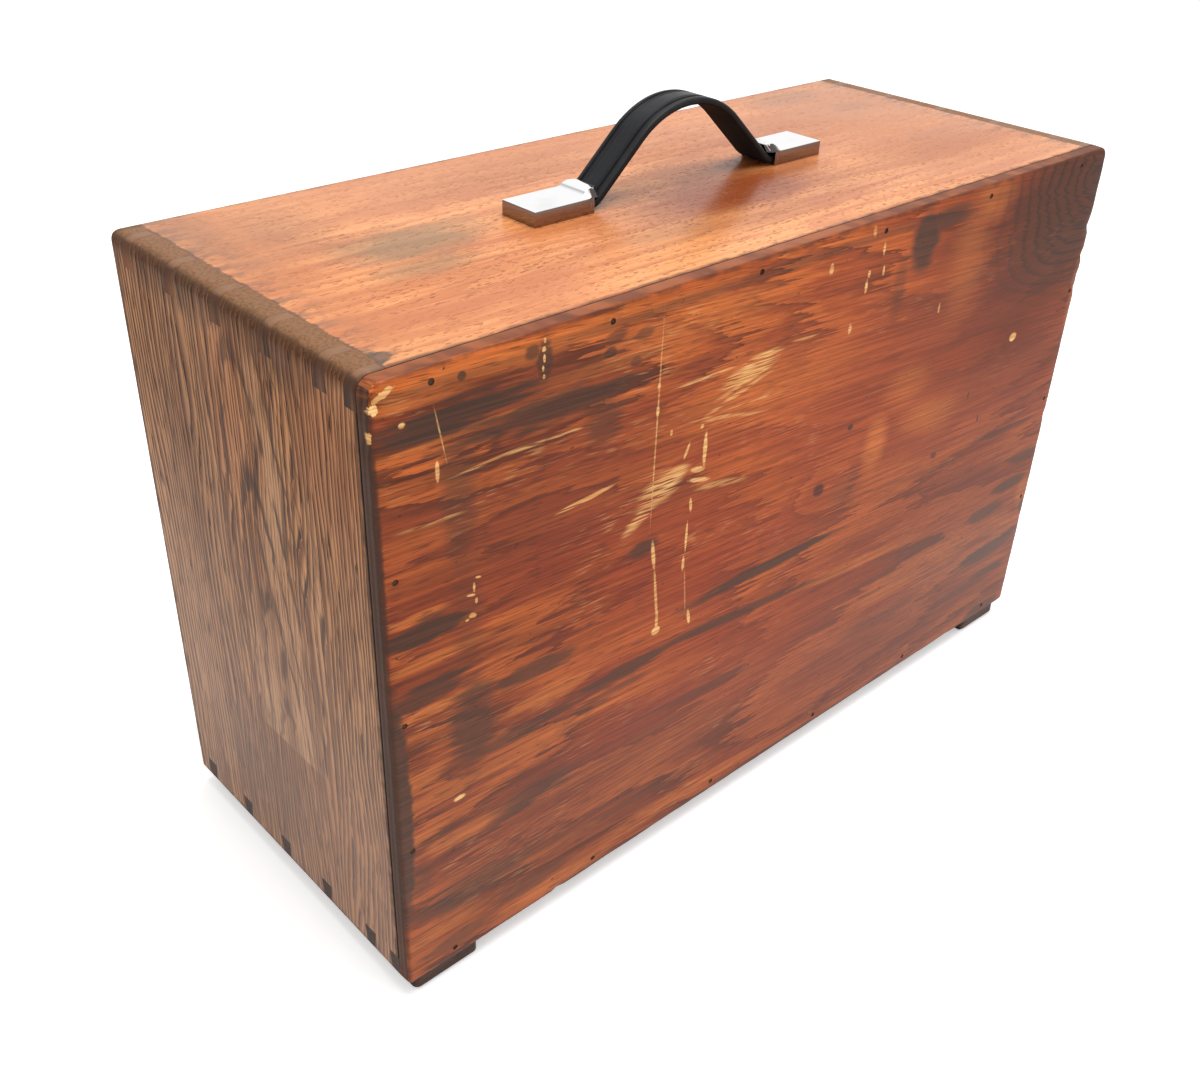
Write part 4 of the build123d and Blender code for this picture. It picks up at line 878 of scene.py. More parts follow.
def backMaterial(look):
    material, tree, shader = newMaterial("stainedPlywood")
    coordinates = addNode(tree, "ShaderNodeTexCoord").outputs
    normal, coordinates = coordinates["Normal"], coordinates["Object"]
    parts = splitAxes(tree, coordinates)
    # x stays and the height becomes y, so that a lean turns in the panel's own plane
    place = joinAxes(tree, parts["X"], parts["Z"])
    spots = {name: softSpot(tree, place, *spot) for name, spot in backSpots.items()}
    veneer = useGroup(tree, peeledVeneer, {
        "Vector": turnFlat(tree, place, -look["grainTilt"]), "Ring Gap": look["ringGap"], "Wander": look["wander"],
        "Torn Tips": look["tornTips"], "Hill": times(tree, spots["knot"], 0.03),
    })
    fibres, dashes, ragged, tone = (veneer[key] for key in ("Fibres", "Dashes", "Ragged", "Tone"))
    colour, nearSide = veneerColours(tree, look, veneer, spots, parts)
    colour = paint(tree, colour, look["red"], paintMarks(tree, place, backMarks["red"], ragged))
    # painted shade: darker and deeper in tone towards the far upper corner, and darker along the foot
    colour = blendColour(tree, spots["farCornerShade"], colour, backStains["farCornerShade"], "MULTIPLY")
    footShade = between(tree, parts["Z"], *backEdges["footShade"], 0.0, 0.85)
    colour = blendColour(tree, footShade, colour, backStains["footShade"], "MULTIPLY")
    colour = paint(tree, colour, look["orange"], paintMarks(tree, place, backMarks["orange"], ragged))
    # the swirl in the upper corner
    bent = calc(tree, "MULTIPLY_ADD", ragged, 0.005, times(tree, tone, 0.05))
    swirlX = times(tree, calc(tree, "ADD", parts["X"], backLines["swirlX"]), backLines["swirlStretch"])
    swirlX = calc(tree, "POWER", swirlX, 2.0)
    swirlZ = calc(tree, "POWER", calc(tree, "SUBTRACT", parts["Z"], backLines["swirlZ"]), 2.0)
    swirl = calc(tree, "ADD", calc(tree, "SQRT", calc(tree, "ADD", swirlX, swirlZ)), bent)
    swirl = repeating(tree, swirl, backLines["swirl"])
    colour = paint(tree, colour, backStains["swirl"], spots["swirl"], 0.88)
    swirlLine = times(tree, spots["swirl"], between(tree, swirl, 0.5, 0.9))
    colour = paint(tree, colour, backStains["swirlLine"], swirlLine, 0.85)
    # fibres, and dashes where the surface is rubbed
    colour = darken(tree, colour, between(tree, fibres, 0.32, 0.7, 1.1, 0.7))
    rubbed = scaledNoise(tree, place, (14, 30, 1), 2, 0.6, flat=True, seed=8.8)
    rubbed = times(tree, nearSide, between(tree, rubbed, 0.5, 0.68))
    colour = paint(tree, colour, look["tan"], between(tree, dashes, 0.6, 0.74, 0.0, 0.5), rubbed)
    colour = paint(tree, colour, look["dark"], between(tree, dashes, 0.4, 0.27, 0.0, 0.6), nearSide)
    # soot marks, and broad painted shade towards the ends of the panel
    sootAndShade = paintMarks(tree, place, backMarks["sootAndShade"], ragged)
    onFibres = between(tree, fibres, 0.35, 0.7)
    sootAndShadeColour = blendColour(tree, onFibres, backStains["sootAndShade"], backStains["sootAndShadeOnFibres"])
    colour = blendColour(tree, sootAndShade, colour, sootAndShadeColour)
    # pale close lines along the foot of the near side
    paleLines = calc(tree, "MULTIPLY_ADD", tone, 0.03, parts["Z"])
    paleLines = between(tree, repeating(tree, paleLines, backLines["pale"]), 0.62, 0.95)
    colour = paint(tree, colour, look["light"], times(tree, spots["paleLines"], paleLines), 0.32)
    # greyer towards the foot, most on the far side
    dustShare = between(tree, parts["X"], 0.05, -0.2, 0.07, 0.14)
    colour = paint(tree, colour, backStains["dust"], between(tree, parts["Z"], *backEdges["dust"]), dustShare)
    colour = paint(tree, colour, backStains["knot"], paintMarks(tree, place, backMarks["knot"], ragged))
    specks = scaledNoise(tree, place, (190, 260, 1), 2, 0.6, flat=True, seed=4.4)
    colour = paint(tree, colour, backStains["specks"], between(tree, specks, 0.76, 0.82, 0.0, 0.75))
    # darkened rim, and the layers at the edge of the sheet
    rim = useGroup(tree, rimMask, {"Vector": coordinates, **backEdges["rim"]})["Mask"]
    colour = paint(tree, colour, backStains["rim"], rim, 0.85)
    layers = between(tree, repeating(tree, parts["Y"], backLines["layer"]), 0.4, 0.6)
    topEdge = blendColour(tree, between(tree, ragged, 0.4, 0.6), *backStains["topEdge"])
    upwards = facingMask(tree, normal, (0, 0, 1), 0.5, 0.8)
    layerColour = blendColour(tree, upwards, blendColour(tree, layers, *backStains["layers"]), topEdge)
    sheetEdge = calc(tree, "SUBTRACT", 1.0, facingMask(tree, normal, (0, 1, 0), 0.25, 0.6))
    colour = paint(tree, colour, layerColour, sheetEdge, 0.92)
    colour = paint(tree, colour, backStains["seam"], between(tree, parts["Y"], *backEdges["seam"], 1.0, 0.0), 0.85)
    # bare wood under the scrapes; combed scrapes only caught the raised fibres
    bareSpots = scaledNoise(tree, place, (420, 300, 1), 4, 0.72, flat=True, seed=6.1)
    bare = paintMarks(tree, place, backMarks["bare"], bareSpots)
    comb = calc(tree, "MULTIPLY_ADD", dashes, 0.35, times(tree, fibres, 0.65))
    combed = paintMarks(tree, place, backMarks["combed"], ragged)
    combed = times(tree, combed, between(tree, comb, 0.42, 0.52))
    outerFace = between(tree, parts["Y"], *backEdges["outerFace"])
    bare = times(tree, calc(tree, "MAXIMUM", bare, combed), outerFace)
    bareColour = blendColour(tree, between(tree, fibres, 0.35, 0.65), look["bare"], look["bareEdge"])
    colour = blendColour(tree, bare, colour, bareColour)
    tree.links.new(colour, shader.inputs["Base Color"])
    rough = between(tree, tone, 0.3, 0.7, look["rough"] - 0.06, look["rough"] + 0.08)
    tree.links.new(calc(tree, "MULTIPLY_ADD", bare, 0.3, rough), shader.inputs["Roughness"])
    shader.inputs["Specular IOR Level"].default_value = look["gloss"]
    relief = calc(tree, "MULTIPLY_ADD", fibres, -0.5, times(tree, dashes, 0.3))
    addBump(tree, shader, relief, 0.0003, 0.7)
    return material


# metals, strap and baize
metals = {
    "agedBrass": {"colour": (0.72, 0.5, 0.2), "tarnish": (0.3, 0.18, 0.07), "rough": 0.24, "scratch": 0.5},
    "plainSteel": {"colour": (0.42, 0.41, 0.4), "tarnish": (0.12, 0.09, 0.075), "rough": 0.38, "scratch": 0.5},
    "nickelKey": {"colour": (0.6, 0.58, 0.55), "tarnish": (0.28, 0.24, 0.2), "rough": 0.26, "scratch": 0.6},
    "capChrome": {
        "colour": (0.97, 0.97, 0.98), "tarnish": (0.85, 0.84, 0.82), "rough": 0.03, "scratch": 0.2,
        # painted reflection: sides mirror the shaded board on the walls, and the bend colour is a dark line on the
        # bends
        "sides": (0.27, 0.215, 0.185), "bendReflection": (0.1, 0.085, 0.08),
    },
    "rustyPins": {"colour": (0.1, 0.055, 0.035), "tarnish": (0.04, 0.02, 0.014), "rough": 0.65, "scratch": 0.2},
}


def metalMaterial(name, look):
    material, tree, shader = newMaterial(name)
    place, normal, _ = objectPlace(tree)
    wear = useGroup(tree, fineScratches, {"Vector": place, "Scale": 1.0, "Amount": look["scratch"]})
    dull = between(tree, wear["Smudge"], 0.5, 0.72, 0.0, 0.7)
    colour = blendColour(tree, dull, look["colour"], look["tarnish"])
    bright = tuple(min(1, 1.15 * part) for part in look["colour"])
    colour = paint(tree, colour, bright, wear["Mask"], 0.4)
    if "sides" in look:
        # painted reflection: the walls darker and browner than the top, mirroring the shaded board, and the bends
        # between them darkest
        upwards = vectorCalc(tree, "DOT_PRODUCT", normal, (0, 0, 1))
        colour = paint(tree, colour, look["bendReflection"], between(tree, upwards, 0.72, 0.9, 1.0, 0.0))
        colour = paint(tree, colour, look["sides"], between(tree, upwards, 0.12, 0.3, 1.0, 0.0))
    tree.links.new(colour, shader.inputs["Base Color"])
    shader.inputs["Metallic"].default_value = 1.0
    rough = calc(tree, "MULTIPLY_ADD", dull, 0.14, look["rough"])
    rough = calc(tree, "MULTIPLY_ADD", wear["Mask"], 0.12, rough)
    tree.links.new(rough, shader.inputs["Roughness"])
    addBump(tree, shader, times(tree, wear["Mask"], -1.0), 0.00004, 0.5)
    return material


strapLook = {
    "colour": (0.009, 0.0095, 0.011), "rubbed": (0.02, 0.02, 0.021), "scuff": (0.05, 0.05, 0.05), "rough": 0.38,
    "gloss": 0.16,
}


def strapMaterial(look):
    material, tree, shader = newMaterial("strapVinyl")
    place, normal, _ = objectPlace(tree)
    wear = useGroup(tree, fineScratches, {"Vector": place, "Scale": 0.8, "Amount": 0.5})
    pebble = scaledNoise(tree, place, (1800, 1800, 1800), 1, 0.5)
    colour = blendColour(tree, between(tree, wear["Smudge"], 0.45, 0.75), look["colour"], look["rubbed"])
    colour = paint(tree, colour, look["scuff"], wear["Mask"], 0.3)
    tree.links.new(colour, shader.inputs["Base Color"])
    rough = between(tree, wear["Smudge"], 0.3, 0.7, look["rough"] - 0.05, look["rough"] + 0.12)
    # the underside is matt
    upwards = vectorCalc(tree, "DOT_PRODUCT", normal, (0, 0, 1))
    rough = calc(tree, "ADD", rough, between(tree, upwards, -0.2, -0.5, 0.0, 0.5))
    tree.links.new(rough, shader.inputs["Roughness"])
    shader.inputs["Specular IOR Level"].default_value = look["gloss"]
    addBump(tree, shader, calc(tree, "MULTIPLY_ADD", wear["Mask"], -0.8, pebble), 0.00005, 0.6)
    return material


baizeLook = {
    "colour": (0.028, 0.13, 0.062), "faded": (0.075, 0.19, 0.1), "dust": (0.3, 0.28, 0.2), "rough": 0.95, "sheen": 0.5
}


def baizeMaterial(look):
    material, tree, shader = newMaterial("greenBaize")
    place, _, _ = objectPlace(tree)
    nap = scaledNoise(tree, place, (1500, 1500, 1500), 2, 0.7)
    fade = scaledNoise(tree, place, (14, 14, 14), 3, 0.6)
    colour = blendColour(tree, between(tree, fade, 0.4, 0.7), look["colour"], look["faded"])
    colour = paint(tree, colour, shaded(look["colour"], 1.8), between(tree, nap, 0.55, 0.85, 0.0, 0.4))
    lint = scaledNoise(tree, place, (420, 420, 420), 1, 0.8)
    colour = paint(tree, colour, look["dust"], between(tree, lint, 0.72, 0.8, 0.0, 0.5))
    tree.links.new(colour, shader.inputs["Base Color"])
    shader.inputs["Roughness"].default_value = look["rough"]
    shader.inputs["Sheen Weight"].default_value = look["sheen"]
    shader.inputs["Sheen Roughness"].default_value = look["sheen"]
    addBump(tree, shader, nap, 0.0004, 0.8)
    return material


ownFinishes = {"topOak": topMaterial, "sideOak": sideMaterial}
materials = {"stainedPlywood": backMaterial(backLook)}
for name, look in timbers.items():
    materials[name] = ownFinishes[name](look) if name in ownFinishes else timberMaterial(name, look)
for name, look in metals.items():
    materials[name] = metalMaterial(name, look)
materials["strapVinyl"] = strapMaterial(strapLook)
materials["greenBaize"] = baizeMaterial(baizeLook)
print("materials built")

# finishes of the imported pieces; a drawer's piece is known by the last word of its name
packedFinishes = {
    "topOak": ["top_board"], "bottomOak": ["bottom_board"], "sideOak": ["left_side", "right_side"],
    "stainedPlywood": ["back_panel"], "rustyPins": ["back_panel_pins"], "footOak": ["feet"],
    "plainSteel": ["foot_screws", "handle_screws", "lock_bolt"], "liningPly": ["left_lining", "right_lining"],
    "shelfOak": ["cover_shelf"], "dividerPly": ["drawer_dividers"], "innerOak": ["partitions_kickers"],
    "frontOak": ["front_rail", "cover_panel"], "nickelKey": ["key"], "strapVinyl": ["handle_strap"],
    "agedBrass": ["lock_case", "escutcheon", "cover_pegs", "cover_strike"],
    "capChrome": ["handle_cap_left", "handle_cap_right"],
}
drawerFinishes = {
    "front": "frontOak", "frame": "innerOak", "bottom": "dividerPly", "baize": "greenBaize", "knobs": "agedBrass",
}
finishOf = {nodeName: finish for finish, nodeNames in packedFinishes.items() for nodeName in nodeNames}
for nodeName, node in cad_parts.items():
    material = materials[finishOf.get(nodeName) or drawerFinishes[nodeName.rsplit("_", 1)[1]]]
    for slot in node.material_slots:
        slot.material = material
    if not node.material_slots:
        node.data.materials.append(material)
print("packed pieces finished")


# new pieces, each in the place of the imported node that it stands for
def dress(piece, materialName):
    piece.data.materials.clear()
    piece.data.materials.append(materials[materialName])


def remove(piece):
    takeUp(piece)
    bpy.ops.object.delete()


strapSizes = {
    "width": 0.0195, "thickness": 0.0034, "edgeRound": 0.0011, "rise": 0.03729, "crownRadius": 0.046,
    "footRadius": 0.014, "slope": 42.5, "footX": 0.06431, "padStart": 0.0668,
    # distance from the middle, half width and depth of each pair of grooves
    "grooves": [(0.0063, 0.0008, 0.0008), (0.0042, 0.00032, 0.0004)],
    "cornerSteps": 3, "topCuts": 43, "footSteps": 9, "flankSteps": 5, "crownSteps": 30,
}


def makeStrap(sizes):
    low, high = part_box("handle_strap")
    middle = (low.y + high.y) / 2
    level = low.z + sizes["thickness"] / 2
    angle = math.radians(sizes["slope"])
    footX, padStart = sizes["footX"], sizes["padStart"]
    radii = sizes["crownRadius"] + sizes["footRadius"]
    flankStep = (footX - radii * math.sin(angle)) / math.cos(angle) / sizes["flankSteps"]
    deselectAll()
    start = (low.x, middle, level)
    bpy.ops.mesh.primitive_plane_add(size=1, location=start, rotation=(0, math.pi / 2, 0))
    strap = newPiece("ribbedStrap")
    strap.scale = (sizes["thickness"], sizes["width"], 1)
    settle(strap)
    # the section: rounded corners, then grooves pressed into the upper side
    pick(strap, "VERT", lambda place: True)
    bevelPicked(sizes["edgeRound"], sizes["cornerSteps"], "VERTICES")
    top = level + sizes["thickness"] / 2 - 0.00001
    pick(strap, "EDGE", lambda first, second: first.z > top and second.z > top)
    bpy.ops.mesh.subdivide(number_cuts=sizes["topCuts"])
    bpy.ops.mesh.select_all(action="SELECT")
    bpy.ops.mesh.delete(type="ONLY_FACE")
    leaveEdit()
    for away, half, depth in sizes["grooves"]:
        pick(strap, "VERT", lambda place: place.z > top and abs(abs(place.y - middle) - away) < half)
        bpy.ops.transform.translate(value=(0, 0, -depth))
        leaveEdit()

    def bend(steps, turn, x, height):
        centre = (x, middle, level + height)
        bpy.ops.mesh.spin(steps=steps, angle=turn, center=centre, axis=(0, 1, 0), dupli=False)

    def flank(way):
        for _ in range(sizes["flankSteps"]):
            extrudeBy(flankStep * math.cos(angle), 0, way * flankStep * math.sin(angle))

    # the run: flat end, foot, flank, crown, flank, foot, flat end
    pick(strap, "EDGE", lambda first, second: True)
    extrudeBy(-padStart - low.x, 0, 0)
    extrudeBy(padStart - footX, 0, 0)
    bend(sizes["footSteps"], angle, -footX, sizes["footRadius"])
    flank(1)
    bend(sizes["crownSteps"], -2 * angle, 0, sizes["rise"] - sizes["crownRadius"])
    flank(-1)
    bend(sizes["footSteps"], angle, footX, sizes["footRadius"])
    extrudeBy(padStart - footX, 0, 0)
    extrudeBy(high.x - padStart, 0, 0)
    bpy.ops.mesh.select_all(action="SELECT")
    bpy.ops.mesh.fill_holes(sides=0)
    leaveEdit()
    faceOutwards(strap)
    smoothByAngle(strap, 40)
    dress(strap, "strapVinyl")
    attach(strap, "carcase")
    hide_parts("handle_strap")


makeStrap(strapSizes)
print("strap made")


capSizes = {
    "height": 0.007, "wall": 0.0009, "lipLength": 0.0084, "lipRise": 0.0033, "overhang": 0.004,
    "mouthReach": 0.0052, "lipHalfWidth": 0.0112, "edgeRound": 0.00045, "cellsAlong": 36, "cellsAcross": 34,
    "lipSteps": 12, "lipInsets": (0.0, 0.0007, 0.0014, 0.0021, 0.0028),
    # rows of cells counted from the tip, and how much they are narrowed
    "tipTaper": ((0.5, 0.88), (1.5, 0.93), (2.5, 0.97)),
}


def swellLip(cap, side, mouth, middle, sizes):
    # the lip swells up towards the strap, in steps that overlap into a soft curve
    steps, insets = sizes["lipSteps"], sizes["lipInsets"]
    for index in range(steps):
        reach = sizes["lipLength"] * (1 - (index + 0.5) / steps)
        share = math.sin(math.pi * (index + 0.5) / steps) * math.pi / 2 / steps
        for inset in insets:
            halfLip = sizes["lipHalfWidth"] - inset
            pick(cap, "VERT", lambda place: (place.x - mouth) * side < reach and abs(place.y - middle) < halfLip)
            bpy.ops.transform.translate(value=(0, 0, sizes["lipRise"] * share / len(insets)))
            leaveEdit()


def makeCap(nodeName, side, sizes):
    low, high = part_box(nodeName)
    middle = (low.y + high.y) / 2
    halfWidth = (high.y - low.y) / 2
    mouth, end = (low.x, high.x) if side > 0 else (high.x, low.x)
    mouth -= side * sizes["mouthReach"]
    top = low.z + sizes["height"]
    tip = mouth - side * sizes["overhang"]
    length = abs(end - tip)
    deselectAll()
    bpy.ops.mesh.primitive_grid_add(
        x_subdivisions=sizes["cellsAlong"], y_subdivisions=sizes["cellsAcross"], size=1,
        location=((tip + end) / 2, middle, top),
    )
    cap = newPiece("chromeCap" + ("Right" if side > 0 else "Left"))
    cap.scale = (length, 2 * halfWidth, 1)
    settle(cap)
    swellLip(cap, side, mouth, middle, sizes)
    # round the corners of the lip where it reaches over the strap
    cell = length / sizes["cellsAlong"]
    for rows, narrow in sizes["tipTaper"]:
        pick(cap, "VERT", lambda place: (place.x - tip) * side < rows * cell)
        bpy.ops.transform.resize(value=(1, narrow, 1), center_override=(tip, middle, top))
        leaveEdit()
    tiny = 0.00002

    def onRim(place):
        atSide = abs(abs(place.y - middle) - halfWidth) < tiny
        return (place.x - mouth) * side > -0.0001 and (atSide or abs(place.x - end) < tiny)

    # walls go down to the board on three sides
    pick(cap, "EDGE", lambda first, second: onRim(first) and onRim(second))
    extrudeBy(0, 0, -sizes["height"])
    leaveEdit()
    faceOutwards(cap)
    applyModifier(cap, "SOLIDIFY", thickness=sizes["wall"], offset=-1.0, use_even_offset=True)
    sharp = math.radians(50)
    applyModifier(cap, "BEVEL", width=sizes["edgeRound"], segments=2, limit_method="ANGLE", angle_limit=sharp)
    smoothByAngle(cap, 40)
    dress(cap, "capChrome")
    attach(cap, "carcase")
    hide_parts(nodeName)


makeCap("handle_cap_left", -1, capSizes)
makeCap("handle_cap_right", 1, capSizes)
print("caps made")


knobSizes = {
    "sides": 40, "frontThickness": 0.01, "startHeight": 0.1,
    # distance from the drawer front and radius, in millimetres
    "profile": [
        (0.0, 6.0), (0.7, 6.0), (1.3, 5.6), (1.6, 4.7), (2.4, 3.7), (3.8, 3.15), (5.4, 3.05), (6.8, 3.5), (7.9, 4.7),
        (8.7, 6.1), (9.6, 7.1), (10.6, 7.5), (11.5, 7.3), (12.4, 6.4), (13.0, 4.9), (13.3, 3.1), (13.5, 1.2),
    ],
    "screwSides": 24, "screwRadius": 0.003, "screwHeight": 0.0013,
    # shares of the screw head's height and radius
    "screwProfile": [(0.0, 1.0), (0.35, 1.0), (0.8, 0.75), (1.0, 0.3)],
}


def turnOnLathe(name, centre, forward, sides, steps):
    # a disc that is extruded and scaled along y, one step for each distance and radius
    deselectAll()
    bpy.ops.mesh.primitive_circle_add(
        vertices=sides, radius=steps[0][1], fill_type="NGON", location=centre,
        rotation=(-forward * math.pi / 2, 0, 0),
    )
    piece = newPiece(name)
    settle(piece)
    pick(piece, "FACE", lambda place, normal: True)
    for (distance, radius), (nextDistance, nextRadius) in zip(steps, steps[1:]):
        extrudeBy(0, forward * (nextDistance - distance), 0)
        share = nextRadius / radius
        if abs(share - 1) > 0.0001:
            bpy.ops.transform.resize(value=(share, 1, share), center_override=centre)
    leaveEdit()
    return piece


def makeKnob(name, centre, sizes):
    x, face, height = centre
    steps = [(distance * millimetre, radius * millimetre) for distance, radius in sizes["profile"]]
    knob = turnOnLathe(name, centre, -1, sizes["sides"], steps)
    # the screw head shows inside the drawer
    inside = (x, face + sizes["frontThickness"], height)
    steps = [(tall * sizes["screwHeight"], wide * sizes["screwRadius"]) for tall, wide in sizes["screwProfile"]]
    head = turnOnLathe(name + "Screw", inside, 1, sizes["screwSides"], steps)
    joinPieces(knob, head)
    faceOutwards(knob)
    smoothByAngle(knob, 38)
    return knob


drawers = ["bottom", "lower", "middle", "upper_left", "upper_right", "top_left", "top_right"]


def makeKnobs(sizes):
    headRadius = max(radius for _, radius in sizes["profile"]) * millimetre
    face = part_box("drawer_bottom_front")[0].y
    first = makeKnob("brassKnob", (0.0, face, sizes["startHeight"]), sizes)
    for drawer in drawers:
        low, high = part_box(f"drawer_{drawer}_knobs")
        height = (low.z + high.z) / 2
        places = [low.x + headRadius]
        if high.x - low.x > 3 * headRadius:
            places.append(high.x - headRadius)
        made = []
        for x in places:
            takeUp(first)
            bpy.ops.object.duplicate()
            copy = bpy.context.object
            bpy.ops.transform.translate(value=(x, 0, height - sizes["startHeight"]))
            settle(copy)
            made.append(copy)
        joinPieces(*made)
        knobs = newPiece(f"brassKnobs_{drawer}")
        smoothByAngle(knobs, 38)
        dress(knobs, "agedBrass")
        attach(knobs, f"drawer_{drawer}")
        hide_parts(f"drawer_{drawer}_knobs")
    remove(first)


makeKnobs(knobSizes)
print("knobs turned")


baizeSizes = {
    "cell": 0.006, "thickness": 0.0007, "lift": 0.00078, "edgeRound": 0.0002, "waviness": 0.00022, "waveSize": 0.03,
    "waveGrowth": 0.004,
}


def makeBaize(drawer, seed, sizes):
    nodeName = f"drawer_{drawer}_baize"
    low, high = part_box(nodeName)
    width, depth = high.x - low.x, high.y - low.y
    deselectAll()
    bpy.ops.mesh.primitive_grid_add(
        x_subdivisions=int(width / sizes["cell"]), y_subdivisions=int(depth / sizes["cell"]), size=1,
        location=((low.x + high.x) / 2, (low.y + high.y) / 2, low.z + sizes["lift"]),
    )
    baize = newPiece(f"baize_{drawer}")
    baize.scale = (width, depth, 1)
    settle(baize)
    waves = cloudTexture(f"baizeWaves_{drawer}", sizes["waveSize"] + sizes["waveGrowth"] * seed)
    applyModifier(
        baize, "DISPLACE", texture=waves, texture_coords="LOCAL", direction="Z", strength=sizes["waviness"],
        mid_level=0.6,
    )
    applyModifier(baize, "SOLIDIFY", thickness=sizes["thickness"], offset=-1.0)
    sharp = math.radians(60)
    applyModifier(baize, "BEVEL", width=sizes["edgeRound"], segments=2, limit_method="ANGLE", angle_limit=sharp)
    smoothByAngle(baize, 50)
    dress(baize, "greenBaize")
    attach(baize, f"drawer_{drawer}")
    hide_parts(nodeName)


for seed, drawer in enumerate(drawers):
    makeBaize(drawer, seed, baizeSizes)
print("baize laid")


panelSizes = {
    "topCorner": 0.006, "topSteps": 8, "bottomCorner": 0.003, "bottomSteps": 5, "edgeRound": 0.002, "edgeSteps": 4,
    "jointChamfer": 0.0005, "cell": 0.004, "fineCuts": (0.0012, 0.0034),
    "wearReach": 0.006, "wearDepth": 0.0006, "wearCloud": 0.009,
    # x, height, reach and depth of knocks in the edges and corners; knockFull is the depth at full weight
    "knocks": [
        (0.2345, 0.3025, 0.008, 0.0026), (0.2385, 0.284, 0.005, 0.0012), (-0.2385, 0.265, 0.005, 0.0014),
        (-0.2385, 0.232, 0.006, 0.0018), (-0.2385, 0.248, 0.004, 0.001), (-0.2385, 0.146, 0.004, 0.0009),
        (-0.17, 0.0095, 0.005, 0.0006), (0.15, 0.0095, 0.004, 0.0006),
    ],
    "knockFull": 0.0034, "knockPush": 0.0052, "knockCloud": 0.0035,
    "nailHead": 0.0014, "nailSink": 0.0008, "nailSides": 16, "cutterLength": 0.004, "nailColumns": 6,
    "nailInset": 0.026, "nailEdge": 0.0065, "nailHeights": (0.091, 0.159, 0.227),
}


def cutPanel(low, high, sizes):
    # the sheet with its rounded corners and edges, in cells that are finer near its edges
    centre = (low + high) / 2
    deselectAll()
    bpy.ops.mesh.primitive_cube_add(size=1, location=centre)
    panel = newPiece("wornPlywoodBack")
    panel.scale = high - low
    settle(panel)
    tiny = 0.00002
    corners = (
        (high.z, sizes["topCorner"], sizes["topSteps"]),
        (low.z, sizes["bottomCorner"], sizes["bottomSteps"]),
    )
    for level, radius, segments in corners:
        pick(panel, "EDGE", lambda first, second: (
            max(abs(first.z - level), abs(second.z - level)) < tiny and abs(first.y - second.y) > 0.005
        ))
        bevelPicked(radius, segments)
    pick(panel, "EDGE", lambda first, second: min(first.y, second.y) > high.y - tiny)
    bevelPicked(sizes["edgeRound"], sizes["edgeSteps"])
    pick(panel, "EDGE", lambda first, second: max(first.y, second.y) < low.y + tiny)
    bevelPicked(sizes["jointChamfer"], 1)
    near, far = sizes["fineCuts"]
    for axis, start, stop in ((0, low.x, high.x), (2, low.z, high.z)):
        count = int((stop - start) / sizes["cell"])
        cuts = [start + near, start + far, stop - far, stop - near]
        cuts += [start + (stop - start) * index / count for index in range(1, count)]
        direction = [0, 0, 0]
        direction[axis] = 1
        pick(panel, "FACE", lambda place, normal: True)
        for cut in cuts:
            at = list(centre)
            at[axis] = cut
            bpy.ops.mesh.select_all(action="SELECT")
            bpy.ops.mesh.bisect(plane_co=at, plane_no=direction)
        leaveEdit()
    return panel


def wearPanel(panel, low, high, sizes):
    # edges worn all round, and deeper knocks in a few places
    edges = panel.vertex_groups.new(name="edges")
    knocks = panel.vertex_groups.new(name="knocks")
    outerHalf = (low.y + high.y) / 2 - 0.002
    for vertex in panel.data.vertices:
        x, y, z = vertex.co
        inward = min(high.x - abs(x), z - low.z, high.z - z)
        weight = max(0.0, 1 - inward / sizes["wearReach"]) if y > outerHalf else 0.0
        if weight:
            edges.add([vertex.index], weight, "REPLACE")
        knock = 0.0
        for knockX, knockZ, reach, depth in sizes["knocks"]:
            away = math.hypot(x - knockX, z - knockZ) / reach
            if away < 1 and y > low.y + 0.001:
                knock = max(knock, depth * (1 - away * away) / sizes["knockFull"])
        if knock:
            knocks.add([vertex.index], knock, "REPLACE")
    for group, cloud, push in (
        ("edges", cloudTexture("edgeWear", sizes["wearCloud"]), sizes["wearDepth"]),
        ("knocks", cloudTexture("knockWear", sizes["knockCloud"]), sizes["knockPush"]),
    ):
        applyModifier(
            panel, "DISPLACE", texture=cloud, texture_coords="LOCAL", direction="NORMAL", strength=-push,
            mid_level=0.0, vertex_group=group,
        )
    panel.vertex_groups.clear()


def sinkNails(panel, low, high, sizes):
    # nail heads sit in small holes
    columns, edge = sizes["nailColumns"], sizes["nailEdge"]
    reach = high.x - sizes["nailInset"]
    across = [reach * (2 * index / (columns - 1) - 1) for index in range(columns)]
    places = [(x, z) for x in across for z in (high.z - edge, low.z + edge)]
    places += [(side * (high.x - edge), z) for side in (-1, 1) for z in sizes["nailHeights"]]
    cutters = []
    length = sizes["cutterLength"]
    for x, z in places:
        deselectAll()
        bpy.ops.mesh.primitive_cylinder_add(
            vertices=sizes["nailSides"], radius=sizes["nailHead"], depth=length,
            location=(x, high.y + length / 2 - sizes["nailSink"], z), rotation=(math.pi / 2, 0, 0),
        )
        cutters.append(bpy.context.object)
    cutter = joinPieces(*cutters)
    applyModifier(panel, "BOOLEAN", object=cutter, operation="DIFFERENCE", solver="EXACT")
    remove(cutter)


def makePanel(sizes):
    low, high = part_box("back_panel")
    panel = cutPanel(low, high, sizes)
    wearPanel(panel, low, high, sizes)
    sinkNails(panel, low, high, sizes)
    smoothByAngle(panel, 32)
    dress(panel, "stainedPlywood")
    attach(panel, "carcase")
    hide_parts("back_panel")


makePanel(panelSizes)
print("plywood back worn")


# studio: pale floor, plain soft light, camera where the photograph was taken
studio = {
    "cameraPlace": (0.44466, 0.45118, 0.49428), "cameraTurn": (57.693, -1.753, 137.689), "lens": 38.895,
    "sensor": 36, "nearest": 0.01, "worldLight": 0.68, "floorSize": 14, "floorColour": (0.9, 0.9, 0.9, 1),
    "floorRough": 0.7, "floorGloss": 0.2, "floorGlow": 0.42,
}
